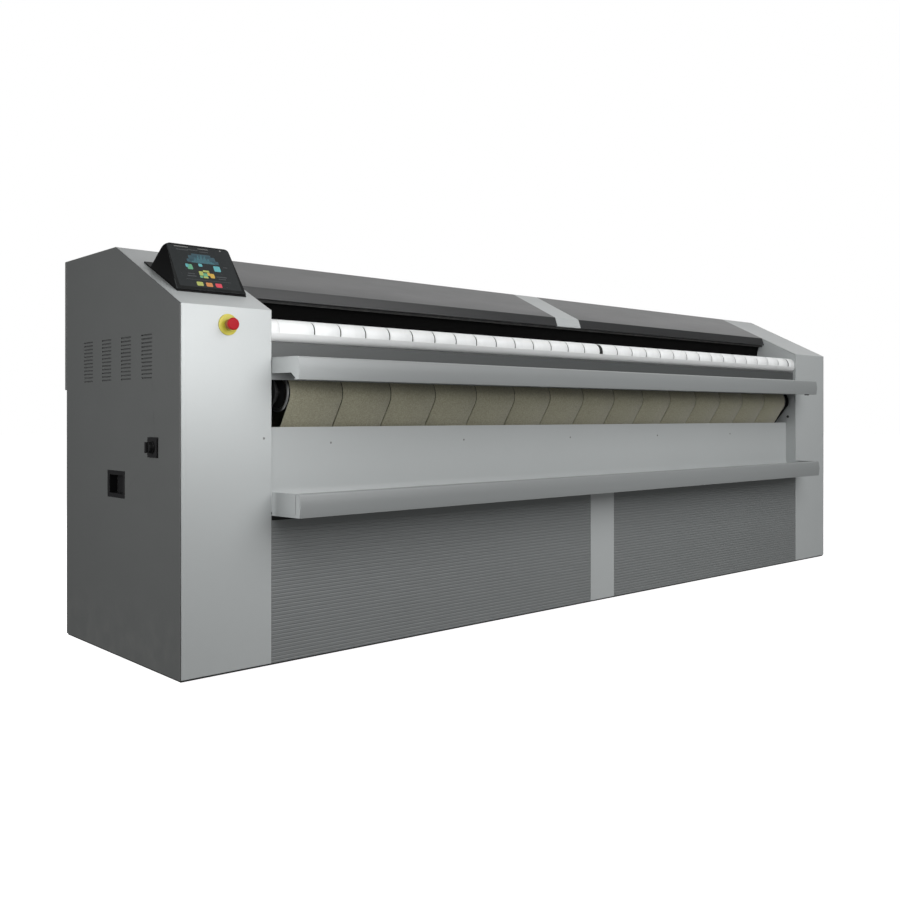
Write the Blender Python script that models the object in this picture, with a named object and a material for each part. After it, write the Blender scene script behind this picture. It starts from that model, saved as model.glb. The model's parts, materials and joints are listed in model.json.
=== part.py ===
"""Flatwork ironer with a heated cylinder, ironing belts, a feed conveyor and a return tray.

Every piece is laid out in the machine's own coordinates: s runs from the outer left side to the
right, t runs back from the front face of the side cabinets, and z runs up from the floor.
"""

import math

import bmesh
import bpy
from mathutils import Matrix
from mathutils import Vector

# Whole machine
HALF_WIDTH = 2.100
SIDE_WIDTH = 0.335
REAR_ROOM = 0.035
REAR_COVER_REACH = 0.017
REAR_STEP_DROP = 0.071
TOP_ROOM = 0.105
FACE_DROP = 0.238
APEX_LEAD = 0.073
FLOOR_GAP = 0.010
SHEET = 0.003
SEAT_GAP = 0.0003
CUT_OVERRUN = 0.002

# Side frames
FRAME_PLATE = 0.010
FRAME_BASE = 0.016
FRAME_SHELF_DEPTH = 0.180
FRAME_SHELF_ROOM = 0.050
SHAFT_CLEARANCE = 0.0004
HUB_CLEARANCE = 0.006

# Side covers
VENT_LENGTH = 0.0795
VENT_WIDTH = 0.0045
VENT_PITCH = 0.01305
VENT_BOTTOM_DROP = 0.044
VENT_FIRST_LEAD = 0.321
VENT_COLUMN_PITCH = 0.162
VENT_COLUMNS = 4
VENT_ROWS = 12
HANDLE_LEAD = 0.080
HANDLE_DROP = 0.411
HANDLE_LENGTH = 0.142
HANDLE_RISE = 0.095
HANDLE_RIM = 0.013
HANDLE_FLANGE = 0.0015
HANDLE_WALL = 0.002
HANDLE_POCKET = 0.032

# Heated cylinder
CYLINDER_DEPTH = 0.560
CYLINDER_HEIGHT = 1.020
CYLINDER_RADIUS = 0.250
CYLINDER_WALL = 0.012
CYLINDER_END_GAP = 0.065
FLANGE_THICKNESS = 0.014
FLANGE_SPIGOT = 0.030
HUB_RADIUS = 0.055
HUB_BORE = 0.040
HUB_REACH = 0.150
BEARING_RADIUS = 0.085
BEARING_LENGTH = 0.045
HEATER_RADIUS = 0.034
HEATER_WALL = 0.006
HEATER_OVERHANG = 0.030
HEATER_PLATE_WIDTH = 0.120
HEATER_PLATE_THICKNESS = 0.006
HEATER_POST_WIDTH = 0.060

# Rolls that carry the ironing belts
ROLL_SHAFT = 0.0125
FRONT_ROLL_DEGREES = 190.6
FRONT_ROLL_ROOM = 0.1612
FRONT_ROLL_RADIUS = 0.067
LOWER_ROLL_DEGREES = 238.87
LOWER_ROLL_ROOM = 0.2214
LOWER_ROLL_RADIUS = 0.045
REAR_LOWER_ROLL_DEGREES = 306.87
REAR_LOWER_ROLL_ROOM = 0.210
REAR_UPPER_ROLL_DEGREES = 43.025
REAR_UPPER_ROLL_ROOM = 0.1204
REAR_ROLL_RADIUS = 0.040
ENTRY_ROLL_DEGREES = 124.42
ENTRY_ROLL_ROOM = 0.0473
ENTRY_ROLL_RADIUS = 0.030
ROLL_END_MARGIN = 0.020
ROLL_SHAFT_BORE = 0.008
ROLL_WALL = 0.004
ROLL_DISC_THICKNESS = 0.006
BELT_EDGE_GAP = 0.023
BELT_THICKNESS = 0.003
BELT_COUNT = 15
BELT_SLOT_WIDTH = 0.004
BELT_SLOT_RISE = 0.062
BELT_SLOT_ROOM = 0.060

# Brackets that hold the front roll
BRACKET_THICKNESS = 0.006
BRACKET_ROUND_DEGREES = 200
BRACKET_FOOT_DROP = 0.172
BRACKET_REAR_DEPTH = 0.215
BRACKET_BOSS_RADIUS = 0.046
BRACKET_BOSS_LENGTH = 0.024
BRACKET_STANDOFF = 0.030

# Feed conveyor
FEED_FRONT_DEPTH = 0.045
FEED_FRONT_RISE = 0.1236
FEED_FRONT_RADIUS = 0.036
FEED_NIP_GAP = 0.0091
FEED_REAR_RISE = 0.0084
FEED_REAR_RADIUS = 0.030
FEED_BELT_THICKNESS = 0.0025
FEED_EDGE_GAP = 0.037
FEED_MIDDLE_GAP = 0.006
FEED_BED_THICKNESS = 0.008
FEED_BED_DROP = 0.002
FEED_BED_MARGIN = 0.012
NOSE_GUARD_CLEARANCE = 0.0012
NOSE_GUARD_THICKNESS = 0.0018
NOSE_GUARD_TOP_DEGREES = 194
NOSE_GUARD_END_DEGREES = 275
FEED_FASCIA_FALL = 0.0526
FEED_FASCIA_DEPTH = 0.016
FEED_FASCIA_RETURN = 0.060

# Feed table lip
LIP_REACH = 0.142
LIP_GAP = 0.002
LIP_FALL = 0.0775
LIP_BULGE = 0.005
LIP_ROUND = 0.010
LIP_ROUND_END_DEGREES = 165
LIP_SHEET = 0.003
LIP_HEM = 0.022
LIP_REAR_DEPTH = 0.060
LIP_END_INSET = 0.019
LIP_END_RISE = 0.054
LIP_END_FIN = 0.020
LIP_END_SLOPE = 0.025
LIP_END_CLEARANCE = 0.0015

# Return tray
TRAY_REACH = 0.154
TRAY_LIP_FALL = 0.081
TRAY_LIP_WIDTH = 0.030
TRAY_ROUND = 0.011
TRAY_BULGE = 0.005
TRAY_FLOOR_RISE = 0.013
TRAY_PANEL_DEPTH = 0.060
TRAY_PANEL_GAP = 0.055
TRAY_PANEL_RISE = 0.218
TRAY_BEND = 0.075
TRAY_SHEET = 0.003
TRAY_SKIRT_DEPTH = 0.012
TRAY_END_INSET = 0.014

# Lower front
PANEL_GAP = 0.017
PANEL_THICKNESS = 0.006
RIB_PITCH = 0.0125
RIB_GROOVE_WIDTH = 0.0035
RIB_GROOVE_DEPTH = 0.0018
PANEL_BOTTOM_RIM = 0.006
POST_WIDTH = 0.168
BEAM_SIZE = 0.080
BEAM_WALL = 0.005
BEAM_FRONT_DEPTH = 0.040
BEAM_REAR_GAP = 0.015
BEAM_HEIGHT = 0.060
TOP_BEAM_SIZE = 0.056
TOP_BEAM_DROP = 0.073

# Hood
HOOD_FOLD_LEAD = 0.345
FASCIA_LEAD = 0.015
FASCIA_PIVOT_RISE = 0.0085
FASCIA_RETURN = 0.032
GUARD_PIVOT_SETBACK = 0.040
GUARD_TIP_GAP = 0.010
GUARD_ROD_RADIUS = 0.005
GUARD_THICKNESS = 0.004
GUARD_LENGTH = 0.067
GUARD_LEAN_DEGREES = 10
GUARD_SIDE_CLEARANCE = 0.003

# Console on the left slope
CONSOLE_LEFT = 0.042
CONSOLE_RIGHT_GAP = 0.037
CONSOLE_TOP_INSET = 0.012
CONSOLE_FRONT_DEPTH = 0.103
CONSOLE_TOP_DEPTH = 0.2085
CONSOLE_TOP_DROP = 0.0125
CONSOLE_TOP_THICKNESS = 0.014
CONSOLE_BACK_DEPTH = 0.300
CONSOLE_REAR_FLANGE = 0.0485
CONSOLE_FLANGE = 0.005
SCREEN_THICKNESS = 0.004
SCREEN_CORNER = 0.014

# Emergency stop on the left face
ESTOP_INNER_GAP = 0.166
ESTOP_DROP = 0.059
ESTOP_DISC_RADIUS = 0.035
ESTOP_DISC_THICKNESS = 0.004
ESTOP_DISC_ROUND = 0.0015
ESTOP_COLLAR_RADIUS = 0.0145
ESTOP_COLLAR_LENGTH = 0.010
ESTOP_BARREL_RADIUS = 0.011
ESTOP_BARREL_LENGTH = 0.046
ESTOP_BORE = 0.0085
ESTOP_STEM_RADIUS = 0.008
ESTOP_STEM_INSIDE = 0.030
ESTOP_TRAVEL = 0.006
ESTOP_HEAD_BASE_RADIUS = 0.0165
ESTOP_HEAD_RADIUS = 0.0205
ESTOP_HEAD_LENGTH = 0.018
ESTOP_HEAD_ROUND = 0.004
ESTOP_SPINDLE_RADIUS = 0.0045
ESTOP_SPINDLE_LENGTH = 0.010

# Main switch on the left side
SWITCH_DEPTH = 0.187
SWITCH_DROP = 0.275
SWITCH_PLATE = 0.067
SWITCH_PLATE_THICKNESS = 0.006
SWITCH_COLLAR_RADIUS = 0.021
SWITCH_COLLAR_LENGTH = 0.004
SWITCH_REACH = 0.030
SWITCH_KNOB_RADIUS = 0.018
SWITCH_GRIP_WIDTH = 0.010
SWITCH_BASE_SHARE = 0.35
SWITCH_BODY_SIZE = 0.045
SWITCH_BODY_LENGTH = 0.060
SWITCH_SPINDLE = 0.004
SWITCH_NECK_RADIUS = 0.011

# Drive in the right cabinet
SPROCKET_PLANE = 0.075
SPROCKET_THICKNESS = 0.012
CYLINDER_SPROCKET_RADIUS = 0.150
CYLINDER_SPROCKET_TEETH = 44
MOTOR_SPROCKET_RADIUS = 0.045
MOTOR_SPROCKET_TEETH = 13
TOOTH_HEIGHT = 0.006
CHAIN_THICKNESS = 0.010
CHAIN_WIDTH = 0.016
MOTOR_LEAD = 0.140
MOTOR_DROP = 0.475
MOTOR_RADIUS = 0.062
MOTOR_LENGTH = 0.075
GEARBOX_SIZE = 0.150
GEARBOX_LENGTH = 0.070
MOTOR_SHAFT = 0.012

# Exhaust fan in the right cabinet
FAN_DEGREES = 50.573
FAN_ROOM = 0.0193
FAN_RADIUS = 0.088
FAN_WIDTH = 0.060
FAN_CASE_RADIUS = 0.112
FAN_CASE_WIDTH = 0.090
FAN_CASE_WALL = 0.003
FAN_INLET_RADIUS = 0.060
FAN_OUTLET_RISE = 0.100
FAN_HUB_RADIUS = 0.018
FAN_SHAFT = 0.006
FAN_BACK_PLATE = 0.003
FAN_BLADES = 12
FAN_BLADE_THICKNESS = 0.003
FAN_BLADE_DEPTH = 0.032
FAN_BLADE_SWEEP_DEGREES = 35
FAN_MOTOR_RADIUS = 0.045
FAN_MOTOR_LENGTH = 0.060
SPIGOT_RADIUS = 0.045
SPIGOT_WALL = 0.002
SPIGOT_REACH = 0.050

# Feet and cable gland
FOOT_RADIUS = 0.030
FOOT_PAD = 0.008
FOOT_STEM_RADIUS = 0.008
FOOT_INNER_GAP = 0.165
FOOT_FRONT_DEPTH = 0.110
FOOT_REAR_GAP = 0.105
GLAND_INNER_GAP = 0.165
GLAND_HEIGHT = 0.260
GLAND_RADIUS = 0.020
GLAND_BORE = 0.011
GLAND_THREAD_RADIUS = 0.016
GLAND_HEAD = 0.014
GLAND_THREAD = 0.014

# Facets round each kind of turned piece, and how round a bend is
CYLINDER_SIDES = 40
ROLL_SIDES = 20
SMALL_SIDES = 16
BELT_STEP_DEGREES = 15
SMOOTH_DEGREES = 30
BEND_STEPS = 6
CORNER_STEPS = 3
CORNER_PROFILE_SHARE = 0.5


def about_cylinder(degrees, distance):
    """The depth and height of a point seen at an angle and a distance from the cylinder's axis."""
    angle = math.radians(degrees)
    depth = CYLINDER_DEPTH + distance * math.cos(angle)
    return depth, CYLINDER_HEIGHT + distance * math.sin(angle)


def beside_cylinder(degrees, radius, room):
    """The axis of a roll with a room between its surface and the cylinder's."""
    return about_cylinder(degrees, CYLINDER_RADIUS + radius + room)


# Across the machine
OVERALL_WIDTH = 2 * HALF_WIDTH
MIDDLE = HALF_WIDTH
INNER_LEFT = SIDE_WIDTH
INNER_RIGHT = OVERALL_WIDTH - SIDE_WIDTH
POST_LEFT = MIDDLE - POST_WIDTH / 2
POST_RIGHT = MIDDLE + POST_WIDTH / 2
CYLINDER_START = INNER_LEFT + CYLINDER_END_GAP
CYLINDER_LENGTH = OVERALL_WIDTH - 2 * CYLINDER_START
BELT_START = CYLINDER_START + BELT_EDGE_GAP
BELT_ZONE = CYLINDER_LENGTH - 2 * BELT_EDGE_GAP
BELT_PITCH = BELT_ZONE / BELT_COUNT
FEED_ZONE_START = INNER_LEFT + FEED_EDGE_GAP
CONSOLE_WIDTH = SIDE_WIDTH - CONSOLE_LEFT - CONSOLE_RIGHT_GAP
ESTOP_ACROSS = SIDE_WIDTH - ESTOP_INNER_GAP
FOOT_ACROSS = SIDE_WIDTH - FOOT_INNER_GAP
GLAND_ACROSS = SIDE_WIDTH - GLAND_INNER_GAP

# Rolls and fan about the cylinder
FRONT_ROLL_DEPTH, FRONT_ROLL_HEIGHT = beside_cylinder(
    FRONT_ROLL_DEGREES, FRONT_ROLL_RADIUS, FRONT_ROLL_ROOM
)
LOWER_ROLL_DEPTH, LOWER_ROLL_HEIGHT = beside_cylinder(
    LOWER_ROLL_DEGREES, LOWER_ROLL_RADIUS, LOWER_ROLL_ROOM
)
REAR_LOWER_ROLL_DEPTH, REAR_LOWER_ROLL_HEIGHT = beside_cylinder(
    REAR_LOWER_ROLL_DEGREES, REAR_ROLL_RADIUS, REAR_LOWER_ROLL_ROOM
)
REAR_UPPER_ROLL_DEPTH, REAR_UPPER_ROLL_HEIGHT = beside_cylinder(
    REAR_UPPER_ROLL_DEGREES, REAR_ROLL_RADIUS, REAR_UPPER_ROLL_ROOM
)
ENTRY_ROLL_DEPTH, ENTRY_ROLL_HEIGHT = beside_cylinder(
    ENTRY_ROLL_DEGREES, ENTRY_ROLL_RADIUS, ENTRY_ROLL_ROOM
)
FAN_DISTANCE = CYLINDER_SPROCKET_RADIUS + CHAIN_THICKNESS + FAN_CASE_RADIUS + FAN_ROOM
FAN_DEPTH, FAN_HEIGHT = about_cylinder(FAN_DEGREES, FAN_DISTANCE)
MOTOR_DEPTH = CYLINDER_DEPTH - MOTOR_LEAD
MOTOR_HEIGHT = CYLINDER_HEIGHT - MOTOR_DROP
FRAME_SHELF_HEIGHT = MOTOR_HEIGHT - GEARBOX_SIZE / 2 - FRAME_SHELF_ROOM

# Cabinets about the rolls
SIDE_DEPTH = max(REAR_LOWER_ROLL_DEPTH, REAR_UPPER_ROLL_DEPTH) + REAR_ROLL_RADIUS + REAR_ROOM
REAR_COVER_DEPTH = SIDE_DEPTH + REAR_COVER_REACH
REAR_STEP_HEIGHT = CYLINDER_HEIGHT - REAR_STEP_DROP
TOP_HEIGHT = REAR_UPPER_ROLL_HEIGHT + REAR_ROLL_RADIUS + TOP_ROOM
FACE_HEIGHT = TOP_HEIGHT - FACE_DROP
APEX_DEPTH = CYLINDER_DEPTH - APEX_LEAD
SLOPE = FACE_DROP / APEX_DEPTH
VENT_BOTTOM_HEIGHT = CYLINDER_HEIGHT - VENT_BOTTOM_DROP
VENT_FIRST_DEPTH = CYLINDER_DEPTH - VENT_FIRST_LEAD
HANDLE_DEPTH = CYLINDER_DEPTH - HANDLE_LEAD
HANDLE_HEIGHT = CYLINDER_HEIGHT - HANDLE_DROP
SWITCH_HEIGHT = CYLINDER_HEIGHT - SWITCH_DROP
ESTOP_HEIGHT = FACE_HEIGHT - ESTOP_DROP
CONSOLE_TOP_HEIGHT = TOP_HEIGHT - CONSOLE_TOP_DROP
CONSOLE_REAR_DEPTH = CONSOLE_BACK_DEPTH + CONSOLE_REAR_FLANGE
BEAM_REAR_DEPTH = SIDE_DEPTH - BEAM_SIZE - BEAM_REAR_GAP
TOP_BEAM_HEIGHT = TOP_HEIGHT - TOP_BEAM_DROP
FOOT_REAR_DEPTH = SIDE_DEPTH - FOOT_REAR_GAP

# Feed conveyor up to the cylinder, and the guard and hood over it
FEED_FRONT_HEIGHT = CYLINDER_HEIGHT + FEED_FRONT_RISE
FEED_REAR_HEIGHT = FEED_FRONT_HEIGHT + FEED_REAR_RISE
FEED_REAR_REACH = FEED_REAR_RADIUS + FEED_BELT_THICKNESS
FEED_NIP_RISE = FEED_REAR_HEIGHT - CYLINDER_HEIGHT
FEED_NIP_DISTANCE = CYLINDER_RADIUS + FEED_REAR_REACH + FEED_NIP_GAP
FEED_REAR_DEPTH = CYLINDER_DEPTH - math.sqrt(FEED_NIP_DISTANCE**2 - FEED_NIP_RISE**2)
NOSE_REACH = FEED_FRONT_RADIUS + FEED_BELT_THICKNESS + NOSE_GUARD_CLEARANCE + NOSE_GUARD_THICKNESS
FEED_FASCIA_TOP = FEED_FRONT_HEIGHT - NOSE_REACH
FEED_FASCIA_BOTTOM = FEED_FASCIA_TOP - FEED_FASCIA_FALL
LIP_TOP_HEIGHT = FEED_FASCIA_BOTTOM - LIP_GAP
LIP_BOTTOM_HEIGHT = LIP_TOP_HEIGHT - LIP_FALL
HOOD_FOLD_DEPTH = CYLINDER_DEPTH - HOOD_FOLD_LEAD
FASCIA_DEPTH = HOOD_FOLD_DEPTH - FASCIA_LEAD
GUARD_PIVOT_DEPTH = FASCIA_DEPTH + GUARD_PIVOT_SETBACK
GUARD_PIVOT_HEIGHT = FEED_REAR_HEIGHT + FEED_REAR_REACH + GUARD_LENGTH + GUARD_TIP_GAP
FASCIA_BOTTOM = GUARD_PIVOT_HEIGHT + FASCIA_PIVOT_RISE

# Lower front, down from the front roll
BELT_SLOT_BOTTOM = LOWER_ROLL_HEIGHT + BELT_SLOT_RISE
BELT_SLOT_REAR_DEPTH = CYLINDER_DEPTH - CYLINDER_RADIUS - BELT_SLOT_ROOM
BRACKET_FOOT_HEIGHT = FRONT_ROLL_HEIGHT - BRACKET_FOOT_DROP
TRAY_PANEL_TOP = FRONT_ROLL_HEIGHT - FRONT_ROLL_RADIUS - TRAY_PANEL_GAP
TRAY_LIP_TOP = TRAY_PANEL_TOP - TRAY_PANEL_RISE
TRAY_LIP_BOTTOM = TRAY_LIP_TOP - TRAY_LIP_FALL
TRAY_FLOOR_HEIGHT = TRAY_LIP_BOTTOM + TRAY_FLOOR_RISE
PANEL_TOP = TRAY_LIP_BOTTOM - PANEL_GAP

# From machine coordinates to the world
LEFT_EDGE = -(OVERALL_WIDTH - SWITCH_REACH) / 2
FRONT_EDGE = -(REAR_COVER_DEPTH + SPIGOT_REACH - TRAY_REACH) / 2

# Where along the pitch each corner of a tooth lies, and the share of the tooth's height it stands
TOOTH_SHARES = ((0.10, 0), (0.35, 1), (0.65, 1), (0.90, 0))

# How a piece turned about X is laid along each axis
AXIS_TURNS = {
    "X": Matrix(),
    "Y": Matrix.Rotation(math.pi / 2, 4, "Z"),
    "Z": Matrix.Rotation(-math.pi / 2, 4, "Y"),
}

# Paint and metal: base colour, roughness, metallic
FINISHES = {
    "light_grey_paint": ((0.62, 0.64, 0.64), 0.40, 0.0),
    "dark_grey_paint": ((0.085, 0.090, 0.088), 0.45, 0.0),
    "mid_grey_paint": ((0.17, 0.175, 0.18), 0.42, 0.0),
    "white_paint": ((0.82, 0.83, 0.83), 0.38, 0.0),
    "white_belt": ((0.82, 0.83, 0.83), 0.50, 0.0),
    "olive_felt": ((0.155, 0.150, 0.115), 0.90, 0.0),
    "black_plastic": ((0.012, 0.012, 0.013), 0.35, 0.0),
    "black_steel": ((0.020, 0.020, 0.021), 0.45, 0.3),
    "screen_glass": ((0.010, 0.011, 0.013), 0.10, 0.0),
    "yellow_plastic": ((0.62, 0.55, 0.05), 0.40, 0.0),
    "red_plastic": ((0.55, 0.02, 0.03), 0.35, 0.0),
    "bright_steel": ((0.60, 0.61, 0.62), 0.28, 1.0),
    "frame_steel": ((0.30, 0.31, 0.32), 0.50, 0.6),
    "cast_iron": ((0.12, 0.13, 0.14), 0.60, 0.7),
}


def clear_scene():
    """Removes every object that the scene starts with."""
    for existing in list(bpy.data.objects):
        bpy.data.objects.remove(existing, do_unlink=True)


def finish(name):
    """The material with this name, made the first time it is asked for."""
    material = bpy.data.materials.get(name)
    if material:
        return material
    colour, roughness, metallic = FINISHES[name]
    material = bpy.data.materials.new(name)
    material.use_nodes = True
    shader = material.node_tree.nodes["Principled BSDF"]
    shader.inputs["Base Color"].default_value = (*colour, 1.0)
    shader.inputs["Roughness"].default_value = roughness
    shader.inputs["Metallic"].default_value = metallic
    material.diffuse_color = (*colour, 1.0)
    return material


def place(s, t, z):
    """The world position of a point in machine coordinates."""
    return Vector((LEFT_EDGE + s, FRONT_EDGE + t, z))


def add_mesh(name, shape, material, location, smooth=False):
    """Turns a bmesh into a named object with faces pointing out."""
    bmesh.ops.recalc_face_normals(shape, faces=shape.faces)
    mesh = bpy.data.meshes.new(name)
    shape.to_mesh(mesh)
    shape.free()
    mesh.materials.append(finish(material))
    if smooth:
        mesh.shade_smooth()
        mesh.set_sharp_from_angle(angle=math.radians(SMOOTH_DEGREES))
    piece = bpy.data.objects.new(name, mesh)
    piece.location = location
    bpy.context.scene.collection.objects.link(piece)
    return piece


def combine(piece, operation, other):
    """Cuts or joins another object, which stays as a hidden helper."""
    other.hide_render = True
    other.display_type = "WIRE"
    change = piece.modifiers.new(other.name, "BOOLEAN")
    change.operation = operation
    change.solver = "EXACT"
    change.object = other
    return piece


def cut(piece, *cutters):
    for cutter in cutters:
        combine(piece, "DIFFERENCE", cutter)
    return piece


def join(piece, *others):
    for other in others:
        combine(piece, "UNION", other)
    return piece


def arc(centre, radius, start_degrees, end_degrees, steps=BEND_STEPS):
    """Points of a round stretch in the t, z plane, both ends included."""
    points = []
    for step in range(steps + 1):
        angle = math.radians(start_degrees + (end_degrees - start_degrees) * step / steps)
        points.append((centre[0] + radius * math.cos(angle), centre[1] + radius * math.sin(angle)))
    return points


def offset_path(path, distance):
    """The path moved to its right-hand side by a distance, with mitred corners."""
    moved = []
    for index, point in enumerate(path):
        here = Vector(point)
        before = Vector(path[max(index - 1, 0)])
        after = Vector(path[min(index + 1, len(path) - 1)])
        arriving = (here - before) if index > 0 else (after - here)
        leaving = (after - here) if index < len(path) - 1 else (here - before)
        arriving.normalize()
        leaving.normalize()
        normal_in = Vector((arriving.y, -arriving.x))
        normal_out = Vector((leaving.y, -leaving.x))
        mitre = (normal_in + normal_out).normalized()
        moved.append(tuple(here + mitre * (distance / mitre.dot(normal_out))))
    return moved


def sheet_outline(path, thickness):
    """The closed outline of a bent sheet whose outer face follows the path."""
    return path + list(reversed(offset_path(path, thickness)))


def prism(name, outline, start, end, material, centre=(0, 0)):
    """A t, z outline carried across the machine from s = start to s = end."""
    shape = bmesh.new()
    near = [shape.verts.new((0, t - centre[0], z - centre[1])) for t, z in outline]
    far = [shape.verts.new((end - start, t - centre[0], z - centre[1])) for t, z in outline]
    shape.faces.new(near)
    shape.faces.new(list(reversed(far)))
    for index in range(len(outline)):
        following = (index + 1) % len(outline)
        shape.faces.new((near[index], far[index], far[following], near[following]))
    return add_mesh(name, shape, material, place(start, *centre))


def block(name, low, high, material):
    """A box between two corners in machine coordinates."""
    outline = [(low[1], low[2]), (high[1], low[2]), (high[1], high[2]), (low[1], high[2])]
    return prism(name, outline, low[0], high[0], material)


def blocks(name, boxes, material):
    """Several separate boxes in one helper object."""
    shape = bmesh.new()
    for low, high in boxes:
        size = Vector(high) - Vector(low)
        middle = (Vector(high) + Vector(low)) / 2
        matrix = Matrix.Translation(middle) @ Matrix.Diagonal((*size, 1))
        bmesh.ops.create_cube(shape, size=1, matrix=matrix)
    return add_mesh(name, shape, material, place(0, 0, 0))


def turned(name, profile, centre, material, sides, axis="X", closed=False):
    """Turns a profile of (along, radius) points round an axis through the centre."""
    shape = bmesh.new()
    rings = []
    for along, radius in profile:
        if radius == 0:
            rings.append([shape.verts.new((along, 0, 0))])
            continue
        ring = []
        for side in range(sides):
            angle = 2 * math.pi * (side + 0.5) / sides
            ring.append(shape.verts.new((along, radius * math.cos(angle), radius * math.sin(angle))))
        rings.append(ring)
    pairs = list(zip(rings, rings[1:]))
    if closed:
        pairs.append((rings[-1], rings[0]))
    for first, second in pairs:
        if len(first) == len(second) == 1:
            continue
        for side in range(sides):
            following = (side + 1) % sides
            corners = [first[side % len(first)], first[following % len(first)]]
            corners += [second[following % len(second)], second[side % len(second)]]
            shape.faces.new(list(dict.fromkeys(corners)))
    bmesh.ops.transform(shape, matrix=AXIS_TURNS[axis], verts=shape.verts)
    return add_mesh(name, shape, material, place(*centre), smooth=True)


def around(radius, sides):
    """The corner radius of a faceted hole whose flats stay outside a radius."""
    return radius / math.cos(math.pi / sides)


def bore(name, radius, centre, length, sides, axis="X"):
    """A round cutter centred on a point."""
    half = length / 2 + CUT_OVERRUN
    corner = around(radius, sides)
    profile = [(-half, 0), (-half, corner), (half, corner), (half, 0)]
    return turned(name, profile, centre, "frame_steel", sides, axis)


def rod(name, radius, length, centre, material, sides=ROLL_SIDES, axis="X"):
    """A plain round bar that starts at a point."""
    profile = [(0, 0), (0, radius), (length, radius), (length, 0)]
    return turned(name, profile, centre, material, sides, axis)


def slope_height(depth):
    """The height of the sloping top at a depth behind the cabinets' front face."""
    return FACE_HEIGHT + SLOPE * depth


def belt_path(wheels, offset):
    """The middle line of a belt round wheels given as (centre, radius, turn).

    turn is 1 where the belt runs round the wheel counter-clockwise in the t, z plane and -1 where it
    runs clockwise. Each round stretch is a polygon whose flats touch the wheel.
    """
    count = len(wheels)
    leave = []
    for index in range(count):
        (centre_a, radius_a, turn_a) = wheels[index]
        (centre_b, radius_b, turn_b) = wheels[(index + 1) % count]
        between = Vector(centre_b) - Vector(centre_a)
        heading = math.atan2(between.y, between.x)
        reach_a = turn_a * (radius_a + offset)
        reach_b = turn_b * (radius_b + offset)
        lean = math.asin((reach_a - reach_b) / between.length)
        leave.append(heading - math.pi / 2 + lean)
    points = []
    for index in range(count):
        centre, radius, turn = wheels[index]
        arriving = leave[index - 1]
        leaving = leave[index]
        sweep = (leaving - arriving) * turn % (2 * math.pi)
        steps = max(1, math.ceil(math.degrees(sweep) / BELT_STEP_DEGREES))
        reach = turn * (radius + offset) / math.cos(sweep / steps / 2)
        for step in range(steps):
            angle = arriving + turn * sweep * (step + 0.5) / steps
            points.append((centre[0] + reach * math.cos(angle), centre[1] + reach * math.sin(angle)))
    return points


def closed_normals(points):
    """The outward direction at each point of a closed loop."""
    normals = []
    for index, point in enumerate(points):
        along = Vector(points[(index + 1) % len(points)]) - Vector(points[index - 1])
        along.normalize()
        normals.append(Vector((along.y, -along.x)))
    return normals


def belt_loop(name, wheels, thickness, start, end, material):
    """An endless belt from s = start to s = end."""
    points = belt_path(wheels, thickness / 2 + SEAT_GAP)
    normals = closed_normals(points)
    shape = bmesh.new()
    rings = []
    half = thickness / 2
    for across, reach in ((0, half), (end - start, half), (end - start, -half), (0, -half)):
        ring = []
        for point, normal in zip(points, normals):
            moved = Vector(point) + normal * reach
            ring.append(shape.verts.new((across, moved.x, moved.y)))
        rings.append(ring)
    for first, second in zip(rings, rings[1:] + rings[:1]):
        for index in range(len(points)):
            following = (index + 1) % len(points)
            shape.faces.new((first[index], first[following], second[following], second[index]))
    return add_mesh(name, shape, material, place(start, 0, 0), smooth=True)


def cabinet_path():
    """The outline of a cabinet's side from the foot of its face to the back of its top."""
    return [(0, FLOOR_GAP), (0, FACE_HEIGHT), (APEX_DEPTH, TOP_HEIGHT), (SIDE_DEPTH, TOP_HEIGHT)]


ROLLS = {
    "entry_roll": (ENTRY_ROLL_DEPTH, ENTRY_ROLL_HEIGHT, ENTRY_ROLL_RADIUS),
    "rear_upper_roll": (REAR_UPPER_ROLL_DEPTH, REAR_UPPER_ROLL_HEIGHT, REAR_ROLL_RADIUS),
    "rear_lower_roll": (REAR_LOWER_ROLL_DEPTH, REAR_LOWER_ROLL_HEIGHT, REAR_ROLL_RADIUS),
    "lower_roll": (LOWER_ROLL_DEPTH, LOWER_ROLL_HEIGHT, LOWER_ROLL_RADIUS),
    "feed_front_roll": (FEED_FRONT_DEPTH, FEED_FRONT_HEIGHT, FEED_FRONT_RADIUS),
    "feed_rear_roll": (FEED_REAR_DEPTH, FEED_REAR_HEIGHT, FEED_REAR_RADIUS),
}


def frame_bores(side, plate_start):
    """Cutters for every shaft that ends in a side frame's plate, and for the fan's inlet."""
    middle = plate_start + FRAME_PLATE / 2
    cutters = []
    radius = ROLL_SHAFT + SHAFT_CLEARANCE
    for name, (depth, height, _) in ROLLS.items():
        centre = (middle, depth, height)
        cutters.append(bore(f"cut_{side}_{name}", radius, centre, FRAME_PLATE, SMALL_SIDES))
    centre = (middle, CYLINDER_DEPTH, CYLINDER_HEIGHT)
    radius = HUB_RADIUS + HUB_CLEARANCE
    cutters.append(bore(f"cut_{side}_hub", radius, centre, FRAME_PLATE, ROLL_SIDES))
    centre = (middle, GUARD_PIVOT_DEPTH, GUARD_PIVOT_HEIGHT)
    radius = GUARD_ROD_RADIUS + SHAFT_CLEARANCE
    cutters.append(bore(f"cut_{side}_guard", radius, centre, FRAME_PLATE, SMALL_SIDES))
    if side == "right":
        centre = (middle, FAN_DEPTH, FAN_HEIGHT)
        cutters.append(bore("cut_right_inlet", FAN_INLET_RADIUS, centre, FRAME_PLATE, ROLL_SIDES))
    return cutters


def base_bottom():
    """The height of the underside of a side frame's base."""
    return FLOOR_GAP + SHEET


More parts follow.
